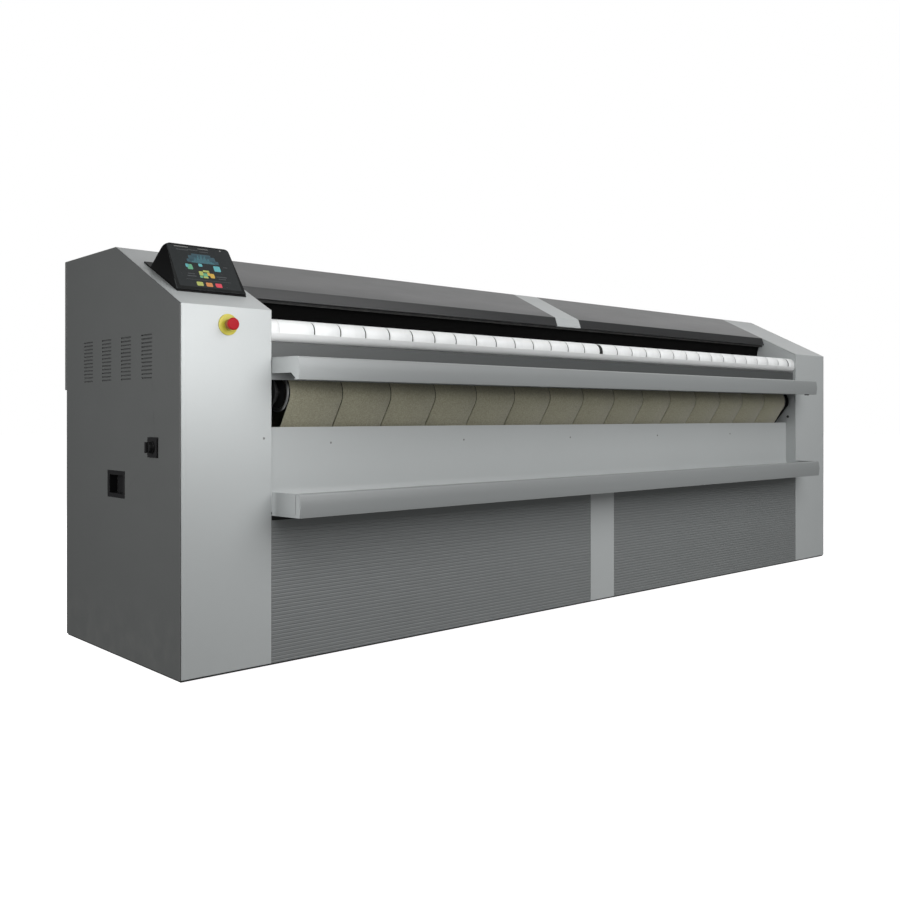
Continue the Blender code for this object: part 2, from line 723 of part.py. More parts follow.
def side_frame(side):
    """The plate that carries the bearings, with its base and a shelf toward the outside."""
    inset = SHEET + SEAT_GAP
    outline = offset_path(cabinet_path(), inset)
    outline[-1] = (SIDE_DEPTH - inset, outline[-1][1])
    outline.append((SIDE_DEPTH - inset, FLOOR_GAP))
    if side == "left":
        plate_start = SIDE_WIDTH - FRAME_PLATE
        inner = SIDE_WIDTH - CUT_OVERRUN
        outer = inset
    else:
        plate_start = INNER_RIGHT
        inner = INNER_RIGHT + CUT_OVERRUN
        outer = OVERALL_WIDTH - inset
    low, high = sorted((inner, outer))
    plate_end = plate_start + FRAME_PLATE
    frame = prism(f"{side}_side_frame", outline, plate_start, plate_end, "light_grey_paint")
    base_low = (low, inset + FRAME_PLATE, base_bottom())
    base_high = (high, SIDE_DEPTH - inset - FRAME_PLATE, base_bottom() + FRAME_BASE)
    base = block(f"{side}_base", base_low, base_high, "frame_steel")
    shelf_top = FRAME_SHELF_HEIGHT + FRAME_PLATE
    shelf_low = (low, CYLINDER_DEPTH - FRAME_SHELF_DEPTH, FRAME_SHELF_HEIGHT)
    shelf_high = (high, CYLINDER_DEPTH + FRAME_SHELF_DEPTH, shelf_top)
    shelf = block(f"{side}_shelf", shelf_low, shelf_high, "frame_steel")
    join(frame, base, shelf)
    cut(frame, *frame_bores(side, plate_start))
    across = FOOT_ACROSS if side == "left" else OVERALL_WIDTH - FOOT_ACROSS
    radius = FOOT_STEM_RADIUS + SEAT_GAP
    for end, depth in (("front", FOOT_FRONT_DEPTH), ("rear", FOOT_REAR_DEPTH)):
        centre = (across, depth, base_bottom() + FRAME_BASE / 2)
        cut(frame, bore(f"cut_{side}_foot_{end}", radius, centre, FRAME_BASE, SMALL_SIDES, "Z"))
    return frame


def front_cover(side):
    """Front face, slope and top of one cabinet, folded from one sheet."""
    if side == "left":
        start, end = SHEET + SEAT_GAP, SIDE_WIDTH
    else:
        start, end = INNER_RIGHT, OVERALL_WIDTH - SHEET - SEAT_GAP
    outline = sheet_outline(cabinet_path(), SHEET)
    cover = prism(f"{side}_front_cover", outline, start, end, "light_grey_paint")
    if side == "left":
        centre = (ESTOP_ACROSS, SHEET / 2, ESTOP_HEIGHT)
        radius = ESTOP_BARREL_RADIUS + SEAT_GAP
        cut(cover, bore("cut_estop", radius, centre, SHEET, SMALL_SIDES, "Y"))
    return cover


def vent_boxes():
    """The vent slots of the left side cover, as boxes that pass through it."""
    boxes = []
    for column in range(VENT_COLUMNS):
        middle = VENT_FIRST_DEPTH + VENT_COLUMN_PITCH * column
        for row in range(VENT_ROWS):
            bottom = VENT_BOTTOM_HEIGHT + VENT_PITCH * row - VENT_WIDTH / 2
            low = (-CUT_OVERRUN, middle - VENT_LENGTH / 2, bottom)
            high = (SHEET + CUT_OVERRUN, middle + VENT_LENGTH / 2, bottom + VENT_WIDTH)
            boxes.append((low, high))
    return boxes


def handle_box(margin, start, end):
    """The corners of a box about the recess handle, wider than its rim by a margin."""
    half_length = HANDLE_LENGTH / 2 + margin
    half_rise = HANDLE_RISE / 2 + margin
    low = (start, HANDLE_DEPTH - half_length, HANDLE_HEIGHT - half_rise)
    high = (end, HANDLE_DEPTH + half_length, HANDLE_HEIGHT + half_rise)
    return low, high


def side_cover(side):
    """The flat dark cover of one side; the left one has the vents, the handle and the switch."""
    start = 0 if side == "left" else OVERALL_WIDTH - SHEET
    outline = cabinet_path() + [(SIDE_DEPTH, FLOOR_GAP)]
    cover = prism(f"{side}_side_cover", outline, start, start + SHEET, "dark_grey_paint")
    if side == "left":
        cut(cover, blocks("cut_vents", vent_boxes(), "frame_steel"))
        low, high = handle_box(SEAT_GAP - HANDLE_RIM, -CUT_OVERRUN, SHEET + CUT_OVERRUN)
        cut(cover, block("cut_handle", low, high, "frame_steel"))
        centre = (SHEET / 2, SWITCH_DEPTH, SWITCH_HEIGHT)
        radius = SWITCH_NECK_RADIUS + SEAT_GAP
        cut(cover, bore("cut_switch", radius, centre, SHEET, SMALL_SIDES))
    return cover


def recess_handle():
    """A flush pull: a rim on the side cover and a pocket behind it."""
    low, high = handle_box(0, -HANDLE_FLANGE, -SEAT_GAP)
    handle = block("recess_handle", low, high, "black_plastic")
    low, high = handle_box(-HANDLE_RIM, -HANDLE_FLANGE / 2, HANDLE_POCKET)
    join(handle, block("handle_pocket", low, high, "black_plastic"))
    inside = -HANDLE_RIM - HANDLE_WALL
    low, high = handle_box(inside, -HANDLE_FLANGE - CUT_OVERRUN, HANDLE_POCKET - HANDLE_WALL)
    return cut(handle, block("cut_pocket", low, high, "black_plastic"))


def rear_upper_cover():
    """A shallow pan across the whole back, open toward the front."""
    low = (0, SIDE_DEPTH + SEAT_GAP, REAR_STEP_HEIGHT)
    high = (OVERALL_WIDTH, REAR_COVER_DEPTH, TOP_HEIGHT)
    cover = block("rear_upper_cover", low, high, "dark_grey_paint")
    inner_low = (SHEET, SIDE_DEPTH - CUT_OVERRUN, REAR_STEP_HEIGHT + SHEET)
    inner_high = (OVERALL_WIDTH - SHEET, REAR_COVER_DEPTH - SHEET, TOP_HEIGHT - SHEET)
    cut(cover, block("cut_rear_pan", inner_low, inner_high, "frame_steel"))
    centre = (fan_middle(), REAR_COVER_DEPTH - SHEET / 2, spigot_height())
    radius = SPIGOT_RADIUS + SEAT_GAP
    return cut(cover, bore("cut_rear_spigot", radius, centre, SHEET, ROLL_SIDES, "Y"))


def rear_lower_cover():
    """The flat cover across the lower back, with the hole for the cable gland."""
    low = (SHEET + SEAT_GAP, SIDE_DEPTH - SHEET, FLOOR_GAP)
    high = (OVERALL_WIDTH - SHEET - SEAT_GAP, SIDE_DEPTH, REAR_STEP_HEIGHT - SEAT_GAP)
    cover = block("rear_lower_cover", low, high, "dark_grey_paint")
    centre = (GLAND_ACROSS, SIDE_DEPTH - SHEET / 2, GLAND_HEIGHT)
    radius = GLAND_THREAD_RADIUS + SEAT_GAP
    return cut(cover, bore("cut_gland", radius, centre, SHEET, SMALL_SIDES, "Y"))


def hood_path():
    """The outer line of the hood from its inward return up the fascia and over the top."""
    fold = (HOOD_FOLD_DEPTH, slope_height(HOOD_FOLD_DEPTH))
    nose = (FASCIA_DEPTH, FASCIA_BOTTOM)
    turn_back = (FASCIA_DEPTH + FASCIA_RETURN, FASCIA_BOTTOM)
    return [turn_back, nose, fold, (APEX_DEPTH, TOP_HEIGHT), (SIDE_DEPTH, TOP_HEIGHT)]


def hoods():
    """The two hood sheets and the light strip between them."""
    outline = sheet_outline(hood_path(), SHEET)
    prism("hood_left", outline, INNER_LEFT + SEAT_GAP, POST_LEFT - SEAT_GAP, "mid_grey_paint")
    prism("hood_centre_strip", outline, POST_LEFT, POST_RIGHT, "light_grey_paint")
    prism("hood_right", outline, POST_RIGHT + SEAT_GAP, INNER_RIGHT - SEAT_GAP, "mid_grey_paint")


def finger_guard():
    """A plate that hangs from a rod and leans back over the feed belts."""
    lean = math.radians(GUARD_LEAN_DEGREES)
    along = Vector((math.sin(lean), -math.cos(lean)))
    across = Vector((math.cos(lean), math.sin(lean))) * (GUARD_THICKNESS / 2)
    start = INNER_LEFT + GUARD_SIDE_CLEARANCE
    end = INNER_RIGHT - GUARD_SIDE_CLEARANCE
    tip = along * GUARD_LENGTH
    rod_start = SIDE_WIDTH - FRAME_PLATE
    rod_length = OVERALL_WIDTH - 2 * rod_start
    pivot = Vector((GUARD_PIVOT_DEPTH, GUARD_PIVOT_HEIGHT))
    centre = (rod_start, *pivot)
    guard = rod("finger_guard", GUARD_ROD_RADIUS, rod_length, centre, "black_steel", SMALL_SIDES)
    corners = [pivot - across, pivot - across + tip, pivot + across + tip, pivot + across]
    return join(guard, prism("guard_plate", corners, start, end, "black_steel"))


def roll_profile(length, outer, disc_face, radius):
    """The closed profile of a hollow roll and its bored shafts, from the outside of its left half."""
    cavity = disc_face + ROLL_DISC_THICKNESS
    left = [(cavity, radius - ROLL_WALL), (cavity, ROLL_SHAFT_BORE), (0, ROLL_SHAFT_BORE)] + outer
    return left + [(length - along, reach) for along, reach in reversed(left)]


def roll(name, depth, height, radius):
    """A hollow roll with stub shafts that end in the plates of the side frames."""
    start = SIDE_WIDTH - FRAME_PLATE
    length = OVERALL_WIDTH - 2 * start
    barrel = FRAME_PLATE + ROLL_END_MARGIN
    outer = [(0, ROLL_SHAFT), (barrel, ROLL_SHAFT), (barrel, radius)]
    profile = roll_profile(length, outer, barrel, radius)
    return turned(name, profile, (start, depth, height), "bright_steel", SMALL_SIDES, closed=True)


def front_roll():
    """The front belt roll, which turns in two brackets and has a disc at each end of the belts."""
    start = INNER_LEFT + BRACKET_STANDOFF
    length = OVERALL_WIDTH - 2 * start
    disc = BELT_START - ROLL_DISC_THICKNESS - SEAT_GAP - start
    disc_radius = FRONT_ROLL_RADIUS + BELT_THICKNESS
    disc_end = disc + ROLL_DISC_THICKNESS
    outer = [(0, ROLL_SHAFT), (disc, ROLL_SHAFT), (disc, disc_radius), (disc_end, disc_radius)]
    outer.append((disc_end, FRONT_ROLL_RADIUS))
    profile = roll_profile(length, outer, disc, FRONT_ROLL_RADIUS)
    centre = (start, FRONT_ROLL_DEPTH, FRONT_ROLL_HEIGHT)
    return turned("front_roll", profile, centre, "black_steel", ROLL_SIDES, closed=True)


def bracket_outline():
    """A plate that is round about the roll and runs down and back to a foot."""
    centre = (FRONT_ROLL_DEPTH, FRONT_ROLL_HEIGHT)
    reach = FRONT_ROLL_RADIUS - BELT_THICKNESS
    foot = (BRACKET_REAR_DEPTH - reach, BRACKET_FOOT_HEIGHT)
    points = arc(centre, reach, BRACKET_ROUND_DEGREES, 90)
    points.append((BRACKET_REAR_DEPTH, FRONT_ROLL_HEIGHT + reach))
    points.append((BRACKET_REAR_DEPTH, BRACKET_FOOT_HEIGHT))
    return points + [foot]


def roll_bracket(side):
    """The black bracket on a cabinet's inner side, with its bright bearing boss."""
    inward = 1 if side == "left" else -1
    wall = INNER_LEFT if side == "left" else INNER_RIGHT
    plate_near = wall + inward * BRACKET_STANDOFF
    plate_far = plate_near + inward * BRACKET_THICKNESS
    start, end = sorted((plate_near, plate_far))
    bracket = prism(f"{side}_roll_bracket", bracket_outline(), start, end, "black_steel")
    foot_top = FRONT_ROLL_HEIGHT + FRONT_ROLL_RADIUS - BELT_THICKNESS
    foot_front = BRACKET_REAR_DEPTH - BRACKET_STANDOFF
    foot_start, foot_end = sorted((wall + inward * SEAT_GAP, plate_far))
    foot_low = (foot_start, foot_front, BRACKET_FOOT_HEIGHT)
    foot = block(f"{side}_bracket_foot", foot_low, (foot_end, BRACKET_REAR_DEPTH, foot_top), "black_steel")
    boss_start = min(plate_near, plate_near + inward * BRACKET_BOSS_LENGTH)
    centre = (boss_start, FRONT_ROLL_DEPTH, FRONT_ROLL_HEIGHT)
    boss = rod(f"{side}_bracket_boss", BRACKET_BOSS_RADIUS, BRACKET_BOSS_LENGTH, centre, "bright_steel")
    join(bracket, foot, boss)
    middle = (boss_start + BRACKET_BOSS_LENGTH / 2, FRONT_ROLL_DEPTH, FRONT_ROLL_HEIGHT)
    length = BRACKET_BOSS_LENGTH + BRACKET_THICKNESS
    radius = ROLL_SHAFT + SHAFT_CLEARANCE
    return cut(bracket, bore(f"cut_{side}_bracket", radius, middle, length, ROLL_SIDES))


def belt_wheels():
    """The rolls inside the ironing belts, clockwise seen from the left, and the cylinder they wrap."""
    return [
        ((FRONT_ROLL_DEPTH, FRONT_ROLL_HEIGHT), FRONT_ROLL_RADIUS, 1),
        ((LOWER_ROLL_DEPTH, LOWER_ROLL_HEIGHT), LOWER_ROLL_RADIUS, 1),
        ((REAR_LOWER_ROLL_DEPTH, REAR_LOWER_ROLL_HEIGHT), REAR_ROLL_RADIUS, 1),
        ((REAR_UPPER_ROLL_DEPTH, REAR_UPPER_ROLL_HEIGHT), REAR_ROLL_RADIUS, 1),
        ((ENTRY_ROLL_DEPTH, ENTRY_ROLL_HEIGHT), ENTRY_ROLL_RADIUS, 1),
        ((CYLINDER_DEPTH, CYLINDER_HEIGHT), CYLINDER_RADIUS, -1),
    ]


def ironing_belts():
    """The felt belts, slotted apart where they run round the front roll."""
    end = BELT_START + BELT_ZONE
    belts = belt_loop("ironing_belts", belt_wheels(), BELT_THICKNESS, BELT_START, end, "olive_felt")
    half = BELT_SLOT_WIDTH / 2
    boxes = []
    for index in range(1, BELT_COUNT):
        middle = BELT_START + BELT_PITCH * index
        low = (middle - half, 0, BELT_SLOT_BOTTOM)
        high = (middle + half, BELT_SLOT_REAR_DEPTH, FRONT_ROLL_HEIGHT + 2 * FRONT_ROLL_RADIUS)
        boxes.append((low, high))
    return cut(belts, blocks("cut_belt_slots", boxes, "olive_felt"))


def feed_belts(side):
    """The white feed belts of one half, round the two feed rolls."""
    wheels = [
        ((FEED_FRONT_DEPTH, FEED_FRONT_HEIGHT), FEED_FRONT_RADIUS, 1),
        ((FEED_REAR_DEPTH, FEED_REAR_HEIGHT), FEED_REAR_RADIUS, 1),
    ]
    if side == "left":
        start, end = FEED_ZONE_START, MIDDLE - FEED_MIDDLE_GAP / 2
    else:
        start, end = MIDDLE + FEED_MIDDLE_GAP / 2, OVERALL_WIDTH - FEED_ZONE_START
    return belt_loop(f"feed_belts_{side}", wheels, FEED_BELT_THICKNESS, start, end, "white_belt")


def feed_bed():
    """The slide plate under the upper run of the feed belts, fixed to both side frames."""
    run = Vector((FEED_REAR_DEPTH - FEED_FRONT_DEPTH, FEED_REAR_HEIGHT - FEED_FRONT_HEIGHT)).normalized()
    rise = Vector((-run.y, run.x))
    front = Vector((FEED_FRONT_DEPTH, FEED_FRONT_HEIGHT)) + run * (FEED_FRONT_RADIUS + FEED_BED_MARGIN)
    rear = Vector((FEED_REAR_DEPTH, FEED_REAR_HEIGHT)) - run * (FEED_REAR_RADIUS + FEED_BED_MARGIN)
    top = FEED_REAR_RADIUS - FEED_BED_DROP
    bottom = top - FEED_BED_THICKNESS
    outline = [front + rise * bottom, rear + rise * bottom, rear + rise * top, front + rise * top]
    return prism("feed_bed", outline, INNER_LEFT + SEAT_GAP, INNER_RIGHT - SEAT_GAP, "frame_steel")


def nose_guard():
    """The white guard that wraps the lower front of the feed belts."""
    centre = (FEED_FRONT_DEPTH, FEED_FRONT_HEIGHT)
    inner = NOSE_REACH - NOSE_GUARD_THICKNESS
    outer = arc(centre, NOSE_REACH, NOSE_GUARD_TOP_DEGREES, NOSE_GUARD_END_DEGREES)
    outline = outer + arc(centre, inner, NOSE_GUARD_END_DEGREES, NOSE_GUARD_TOP_DEGREES)
    return prism("feed_nose_guard", outline, INNER_LEFT + SEAT_GAP, INNER_RIGHT - SEAT_GAP, "white_paint")


def feed_fascia():
    """The dark strip between the white nose and the table lip."""
    path = [
        (FEED_FASCIA_DEPTH + FEED_FASCIA_RETURN, FEED_FASCIA_BOTTOM),
        (FEED_FASCIA_DEPTH, FEED_FASCIA_BOTTOM),
        (FEED_FASCIA_DEPTH, FEED_FASCIA_TOP),
        (FEED_FASCIA_DEPTH + FEED_FASCIA_RETURN, FEED_FASCIA_TOP),
    ]
    outline = sheet_outline(path, SHEET)
    return prism("feed_fascia", outline, INNER_LEFT + SEAT_GAP, INNER_RIGHT - SEAT_GAP, "dark_grey_paint")


def lip_face(reach, top, bottom, bulge, round_radius):
    """The front of a lip, from its round top edge down a slightly bulging face."""
    centre = (-reach + bulge + round_radius, top - round_radius)
    points = arc(centre, round_radius, 90, LIP_ROUND_END_DEGREES)
    points.append((-reach, (top + bottom) / 2))
    points.append((-reach + bulge, bottom))
    return points


def table_lip():
    """The bar in front of the feed belts, drawn in at each end and closed there by a notched plate."""
    face = lip_face(LIP_REACH, LIP_TOP_HEIGHT, LIP_BOTTOM_HEIGHT, LIP_BULGE, LIP_ROUND)
    inside = -LIP_REACH + LIP_BULGE
    path = [(LIP_REAR_DEPTH, LIP_TOP_HEIGHT)] + face + [(inside + LIP_HEM, LIP_BOTTOM_HEIGHT)]
    path.reverse()
    start = INNER_LEFT + SEAT_GAP
    end = INNER_RIGHT - SEAT_GAP
    lip = prism("feed_table_lip", sheet_outline(path, LIP_SHEET), start, end, "light_grey_paint")
    taper_ends(lip, LIP_BOTTOM_HEIGHT, LIP_TOP_HEIGHT, LIP_END_INSET, LIP_REACH)
    half = LIP_SHEET / 2
    underside = LIP_TOP_HEIGHT - LIP_END_RISE
    fin_rear = -LIP_REACH + LIP_END_FIN
    plate = [
        (0, LIP_TOP_HEIGHT - half),
        (0, underside),
        (fin_rear + LIP_END_SLOPE, underside),
        (fin_rear, LIP_BOTTOM_HEIGHT + half),
        (inside + half, LIP_BOTTOM_HEIGHT + half),
        (inside + half, LIP_TOP_HEIGHT - LIP_ROUND),
        (inside + half + LIP_ROUND, LIP_TOP_HEIGHT - half),
    ]
    return add_end_plates(lip, plate, LIP_SHEET, LIP_END_INSET, LIP_REACH)


def leaned(piece, inset, reach):
    """Leans a piece sideways, by an inset at a reach in front of the cabinets."""
    lean = Matrix()
    lean[0][1] = -inset / reach
    piece.data.transform(lean)
    return piece


def taper_ends(sheet, bottom, top, inset, reach):
    """Cuts both ends of a bent sheet so that they draw in towards its front."""
    wide = inset + CUT_OVERRUN
    left = INNER_LEFT + SEAT_GAP - wide
    right = INNER_RIGHT - SEAT_GAP
    for side, start, turn in (("left", left, 1), ("right", right, -1)):
        low = (start, -reach - CUT_OVERRUN, bottom - CUT_OVERRUN)
        high = (start + wide, CUT_OVERRUN, top + CUT_OVERRUN)
        wedge = block(f"cut_{sheet.name}_{side}", low, high, "light_grey_paint")
        cut(sheet, leaned(wedge, turn * inset, reach))
    return sheet


def add_end_plates(sheet, plate, thickness, inset, reach):
    """Closes a bent sheet in front of the cabinets with a leaning plate just inside each end."""
    left = INNER_LEFT + SEAT_GAP + LIP_END_CLEARANCE
    right = INNER_RIGHT - SEAT_GAP - LIP_END_CLEARANCE - thickness
    for side, start, turn in (("left", left, 1), ("right", right, -1)):
        name = f"{sheet.name}_end_{side}"
        cap = prism(name, plate, start, start + thickness, "light_grey_paint")
        join(sheet, leaned(cap, turn * inset, reach))
    return sheet


def return_tray():
    """The bent panel and trough that catch the ironed linen, closed by an end plate at each side."""
    face = lip_face(TRAY_REACH, TRAY_LIP_TOP, TRAY_LIP_BOTTOM, TRAY_BULGE, TRAY_ROUND)
    inner_wall = -TRAY_REACH + TRAY_LIP_WIDTH
    bend = (TRAY_PANEL_DEPTH - TRAY_BEND, TRAY_FLOOR_HEIGHT + TRAY_BEND)
    path = [(TRAY_PANEL_DEPTH, TRAY_PANEL_TOP)]
    path += arc(bend, TRAY_BEND, 0, -90)
    path += [(inner_wall, TRAY_FLOOR_HEIGHT), (inner_wall, TRAY_LIP_TOP - TRAY_ROUND)]
    crown = (inner_wall - TRAY_ROUND, TRAY_LIP_TOP - TRAY_ROUND)
    path += arc(crown, TRAY_ROUND, 0, 90, CORNER_STEPS)[1:]
    path += face + [(TRAY_SKIRT_DEPTH, TRAY_LIP_BOTTOM)]
    path.reverse()
    start = INNER_LEFT + SEAT_GAP
    end = INNER_RIGHT - SEAT_GAP
    tray = prism("return_tray", sheet_outline(path, TRAY_SHEET), start, end, "light_grey_paint")
    taper_ends(tray, TRAY_LIP_BOTTOM, TRAY_LIP_TOP, TRAY_END_INSET, TRAY_REACH)
    half = TRAY_SHEET / 2
    front = -TRAY_REACH + TRAY_BULGE + half
    top = TRAY_LIP_TOP - half
    plate = [
        (0, TRAY_LIP_BOTTOM + half),
        (front, TRAY_LIP_BOTTOM + half),
        (front, top - TRAY_ROUND),
        (front + TRAY_ROUND, top),
        (0, top),
    ]
    return add_end_plates(tray, plate, TRAY_SHEET, TRAY_END_INSET, TRAY_REACH)


def rib_outline():
    """A panel section with shallow grooves all the way up its front."""
    bottom = FLOOR_GAP
    points = [(PANEL_THICKNESS, bottom), (PANEL_THICKNESS, PANEL_TOP), (0, PANEL_TOP)]
    count = int((PANEL_TOP - bottom - 2 * PANEL_BOTTOM_RIM) / RIB_PITCH)
    first = bottom + PANEL_BOTTOM_RIM
    for index in reversed(range(count)):
        groove = first + RIB_PITCH * index
        points.append((0, groove + RIB_GROOVE_WIDTH))
        points.append((RIB_GROOVE_DEPTH, groove + RIB_GROOVE_WIDTH / 2))
        points.append((0, groove))
    return points + [(0, bottom)]


def lower_front():
    """The two ribbed panels and the light post between them."""
    outline = rib_outline()
    left_end = POST_LEFT - SEAT_GAP
    right_start = POST_RIGHT + SEAT_GAP
    prism("front_panel_left", outline, INNER_LEFT + SEAT_GAP, left_end, "dark_grey_paint")
    prism("front_panel_right", outline, right_start, INNER_RIGHT - SEAT_GAP, "dark_grey_paint")
    low = (POST_LEFT, 0, FLOOR_GAP)
    high = (POST_RIGHT, PANEL_THICKNESS, PANEL_TOP)
    return block("front_centre_post", low, high, "light_grey_paint")


def beam(name, depth, height, size):
    """A square tube between the side frames."""
    start = INNER_LEFT + SEAT_GAP
    end = INNER_RIGHT - SEAT_GAP
    tube = block(name, (start, depth, height), (end, depth + size, height + size), "frame_steel")
    inner_low = (start - CUT_OVERRUN, depth + BEAM_WALL, height + BEAM_WALL)
    inner_high = (end + CUT_OVERRUN, depth + size - BEAM_WALL, height + size - BEAM_WALL)
    return cut(tube, block(f"cut_{name}", inner_low, inner_high, "frame_steel"))


def cylinder_shell():
    """The polished shell of the heated cylinder."""
    inner = CYLINDER_RADIUS - CYLINDER_WALL
    outer = CYLINDER_RADIUS
    profile = [(0, inner), (0, outer), (CYLINDER_LENGTH, outer), (CYLINDER_LENGTH, inner)]
    centre = (CYLINDER_START, CYLINDER_DEPTH, CYLINDER_HEIGHT)
    return turned("cylinder_shell", profile, centre, "bright_steel", CYLINDER_SIDES, closed=True)


def cylinder_flange(side):
    """An end disc with a spigot inside the shell and a hollow hub through the bearing."""
    spigot = (CYLINDER_RADIUS - CYLINDER_WALL - SEAT_GAP) * math.cos(math.pi / CYLINDER_SIDES)
    outer_face = -SEAT_GAP - FLANGE_THICKNESS
    profile = [
        (FLANGE_SPIGOT, HUB_BORE),
        (FLANGE_SPIGOT, spigot),
        (-SEAT_GAP, spigot),
        (-SEAT_GAP, CYLINDER_RADIUS),
        (outer_face, CYLINDER_RADIUS),
        (outer_face, HUB_RADIUS),
        (outer_face - HUB_REACH, HUB_RADIUS),
        (outer_face - HUB_REACH, HUB_BORE),
    ]
    if side == "right":
        profile = [(CYLINDER_LENGTH - along, reach) for along, reach in profile]
    centre = (CYLINDER_START, CYLINDER_DEPTH, CYLINDER_HEIGHT)
    name = f"cylinder_flange_{side}"
    return turned(name, profile, centre, "cast_iron", CYLINDER_SIDES, closed=True)


def cylinder_bearing(side):
    """A flanged ring bearing on the outer face of a side frame's plate."""
    corner = around(HUB_RADIUS + SHAFT_CLEARANCE, CYLINDER_SIDES)
    outer = BEARING_RADIUS
    profile = [(0, corner), (0, outer), (BEARING_LENGTH, outer), (BEARING_LENGTH, corner)]
    if side == "left":
        start = SIDE_WIDTH - FRAME_PLATE - SEAT_GAP - BEARING_LENGTH
    else:
        start = INNER_RIGHT + FRAME_PLATE + SEAT_GAP
    centre = (start, CYLINDER_DEPTH, CYLINDER_HEIGHT)
    name = f"cylinder_bearing_{side}"
    return turned(name, profile, centre, "cast_iron", CYLINDER_SIDES, closed=True)


def heater_tube():
    """The fixed heater through the hollow hubs, with a plate and post at each end."""
    hub_end = CYLINDER_START - SEAT_GAP - FLANGE_THICKNESS - HUB_REACH
    start = hub_end - HEATER_OVERHANG
    length = OVERALL_WIDTH - 2 * start
    centre = (start, CYLINDER_DEPTH, CYLINDER_HEIGHT)
    tube = rod("heater_tube", HEATER_RADIUS, length, centre, "cast_iron")
    right_start = start + length - HEATER_PLATE_THICKNESS
    join(tube, *heater_supports("left", start), *heater_supports("right", right_start))
    middle = (MIDDLE, CYLINDER_DEPTH, CYLINDER_HEIGHT)
    return cut(tube, bore("cut_heater", HEATER_RADIUS - HEATER_WALL, middle, length, ROLL_SIDES))


def heater_supports(side, start):
    """The square end plate of the heater and the post that stands on the frame's shelf."""
    end = start + HEATER_PLATE_THICKNESS
    foot = FRAME_SHELF_HEIGHT + FRAME_PLATE + SEAT_GAP
    half = HEATER_POST_WIDTH / 2
    low = (start, CYLINDER_DEPTH - half, foot)
    high = (end, CYLINDER_DEPTH + half, CYLINDER_HEIGHT)
    post = block(f"heater_post_{side}", low, high, "frame_steel")
    half = HEATER_PLATE_WIDTH / 2
    low = (start, CYLINDER_DEPTH - half, CYLINDER_HEIGHT - half)
    high = (end, CYLINDER_DEPTH + half, CYLINDER_HEIGHT + half)
    return post, block(f"heater_plate_{side}", low, high, "frame_steel")


def toothed_disc(name, radius, teeth, hole, centre):
    """A sprocket with plain trapezoid teeth and a round hole."""
    start, depth, height = centre
    outline = []
    for tooth in range(teeth):
        for share, tall_share in TOOTH_SHARES:
            angle = 2 * math.pi * (tooth + share) / teeth
            reach = radius - TOOTH_HEIGHT * (1 - tall_share)
            outline.append((depth + reach * math.cos(angle), height + reach * math.sin(angle)))
    end = start + SPROCKET_THICKNESS
    disc = prism(name, outline, start, end, "bright_steel", (depth, height))
    middle = ((start + end) / 2, depth, height)
    return cut(disc, bore(f"cut_{name}", hole, middle, SPROCKET_THICKNESS, CYLINDER_SIDES))


def sprocket_start():
    """Where the two sprockets begin, outside the right side frame."""
    return INNER_RIGHT + SPROCKET_PLANE


def drive():
    """Cylinder sprocket, motor sprocket, chain and gearmotor."""
    start = sprocket_start()
    hub = HUB_RADIUS + SEAT_GAP
    shaft = MOTOR_SHAFT + SEAT_GAP
    large = (CYLINDER_DEPTH, CYLINDER_HEIGHT)
    small = (MOTOR_DEPTH, MOTOR_HEIGHT)
    large_radius = CYLINDER_SPROCKET_RADIUS
    small_radius = MOTOR_SPROCKET_RADIUS
    toothed_disc("cylinder_sprocket", large_radius, CYLINDER_SPROCKET_TEETH, hub, (start, *large))
    toothed_disc("motor_sprocket", small_radius, MOTOR_SPROCKET_TEETH, shaft, (start, *small))
    wheels = [(small, small_radius, 1), (large, large_radius, 1)]
    chain_start = start + (SPROCKET_THICKNESS - CHAIN_WIDTH) / 2
    chain_end = chain_start + CHAIN_WIDTH
    belt_loop("drive_chain", wheels, CHAIN_THICKNESS, chain_start, chain_end, "black_steel")
    gearmotor(start)


def gearmotor(sprocket):
    """The gearbox stands on the frame's shelf and its shaft carries the sprocket."""
    body_start = sprocket + SPROCKET_THICKNESS + CHAIN_WIDTH
    half = GEARBOX_SIZE / 2
    shelf = FRAME_SHELF_HEIGHT + FRAME_PLATE + SEAT_GAP
    low = (body_start, MOTOR_DEPTH - half, shelf)
    high = (body_start + GEARBOX_LENGTH, MOTOR_DEPTH + half, MOTOR_HEIGHT + half)
    motor = block("gearmotor", low, high, "cast_iron")
    can_centre = (body_start + GEARBOX_LENGTH - CUT_OVERRUN, MOTOR_DEPTH, MOTOR_HEIGHT)
    can = rod("motor_can", MOTOR_RADIUS, MOTOR_LENGTH + CUT_OVERRUN, can_centre, "cast_iron")
    shaft_length = body_start - sprocket + CUT_OVERRUN
    shaft_centre = (sprocket, MOTOR_DEPTH, MOTOR_HEIGHT)
    shaft = rod("motor_shaft", MOTOR_SHAFT, shaft_length, shaft_centre, "bright_steel")
    return join(motor, can, shaft)


def fan_start():
    """Where the fan casing begins, against the right side frame."""
    return INNER_RIGHT + FRAME_PLATE + SEAT_GAP


def fan_middle():
    """The middle of the fan casing across the machine."""
    return fan_start() + FAN_CASE_WIDTH / 2


def spigot_height():
    """The height of the exhaust collar's axis."""
    return FAN_HEIGHT + FAN_CASE_RADIUS - FAN_OUTLET_RISE / 2


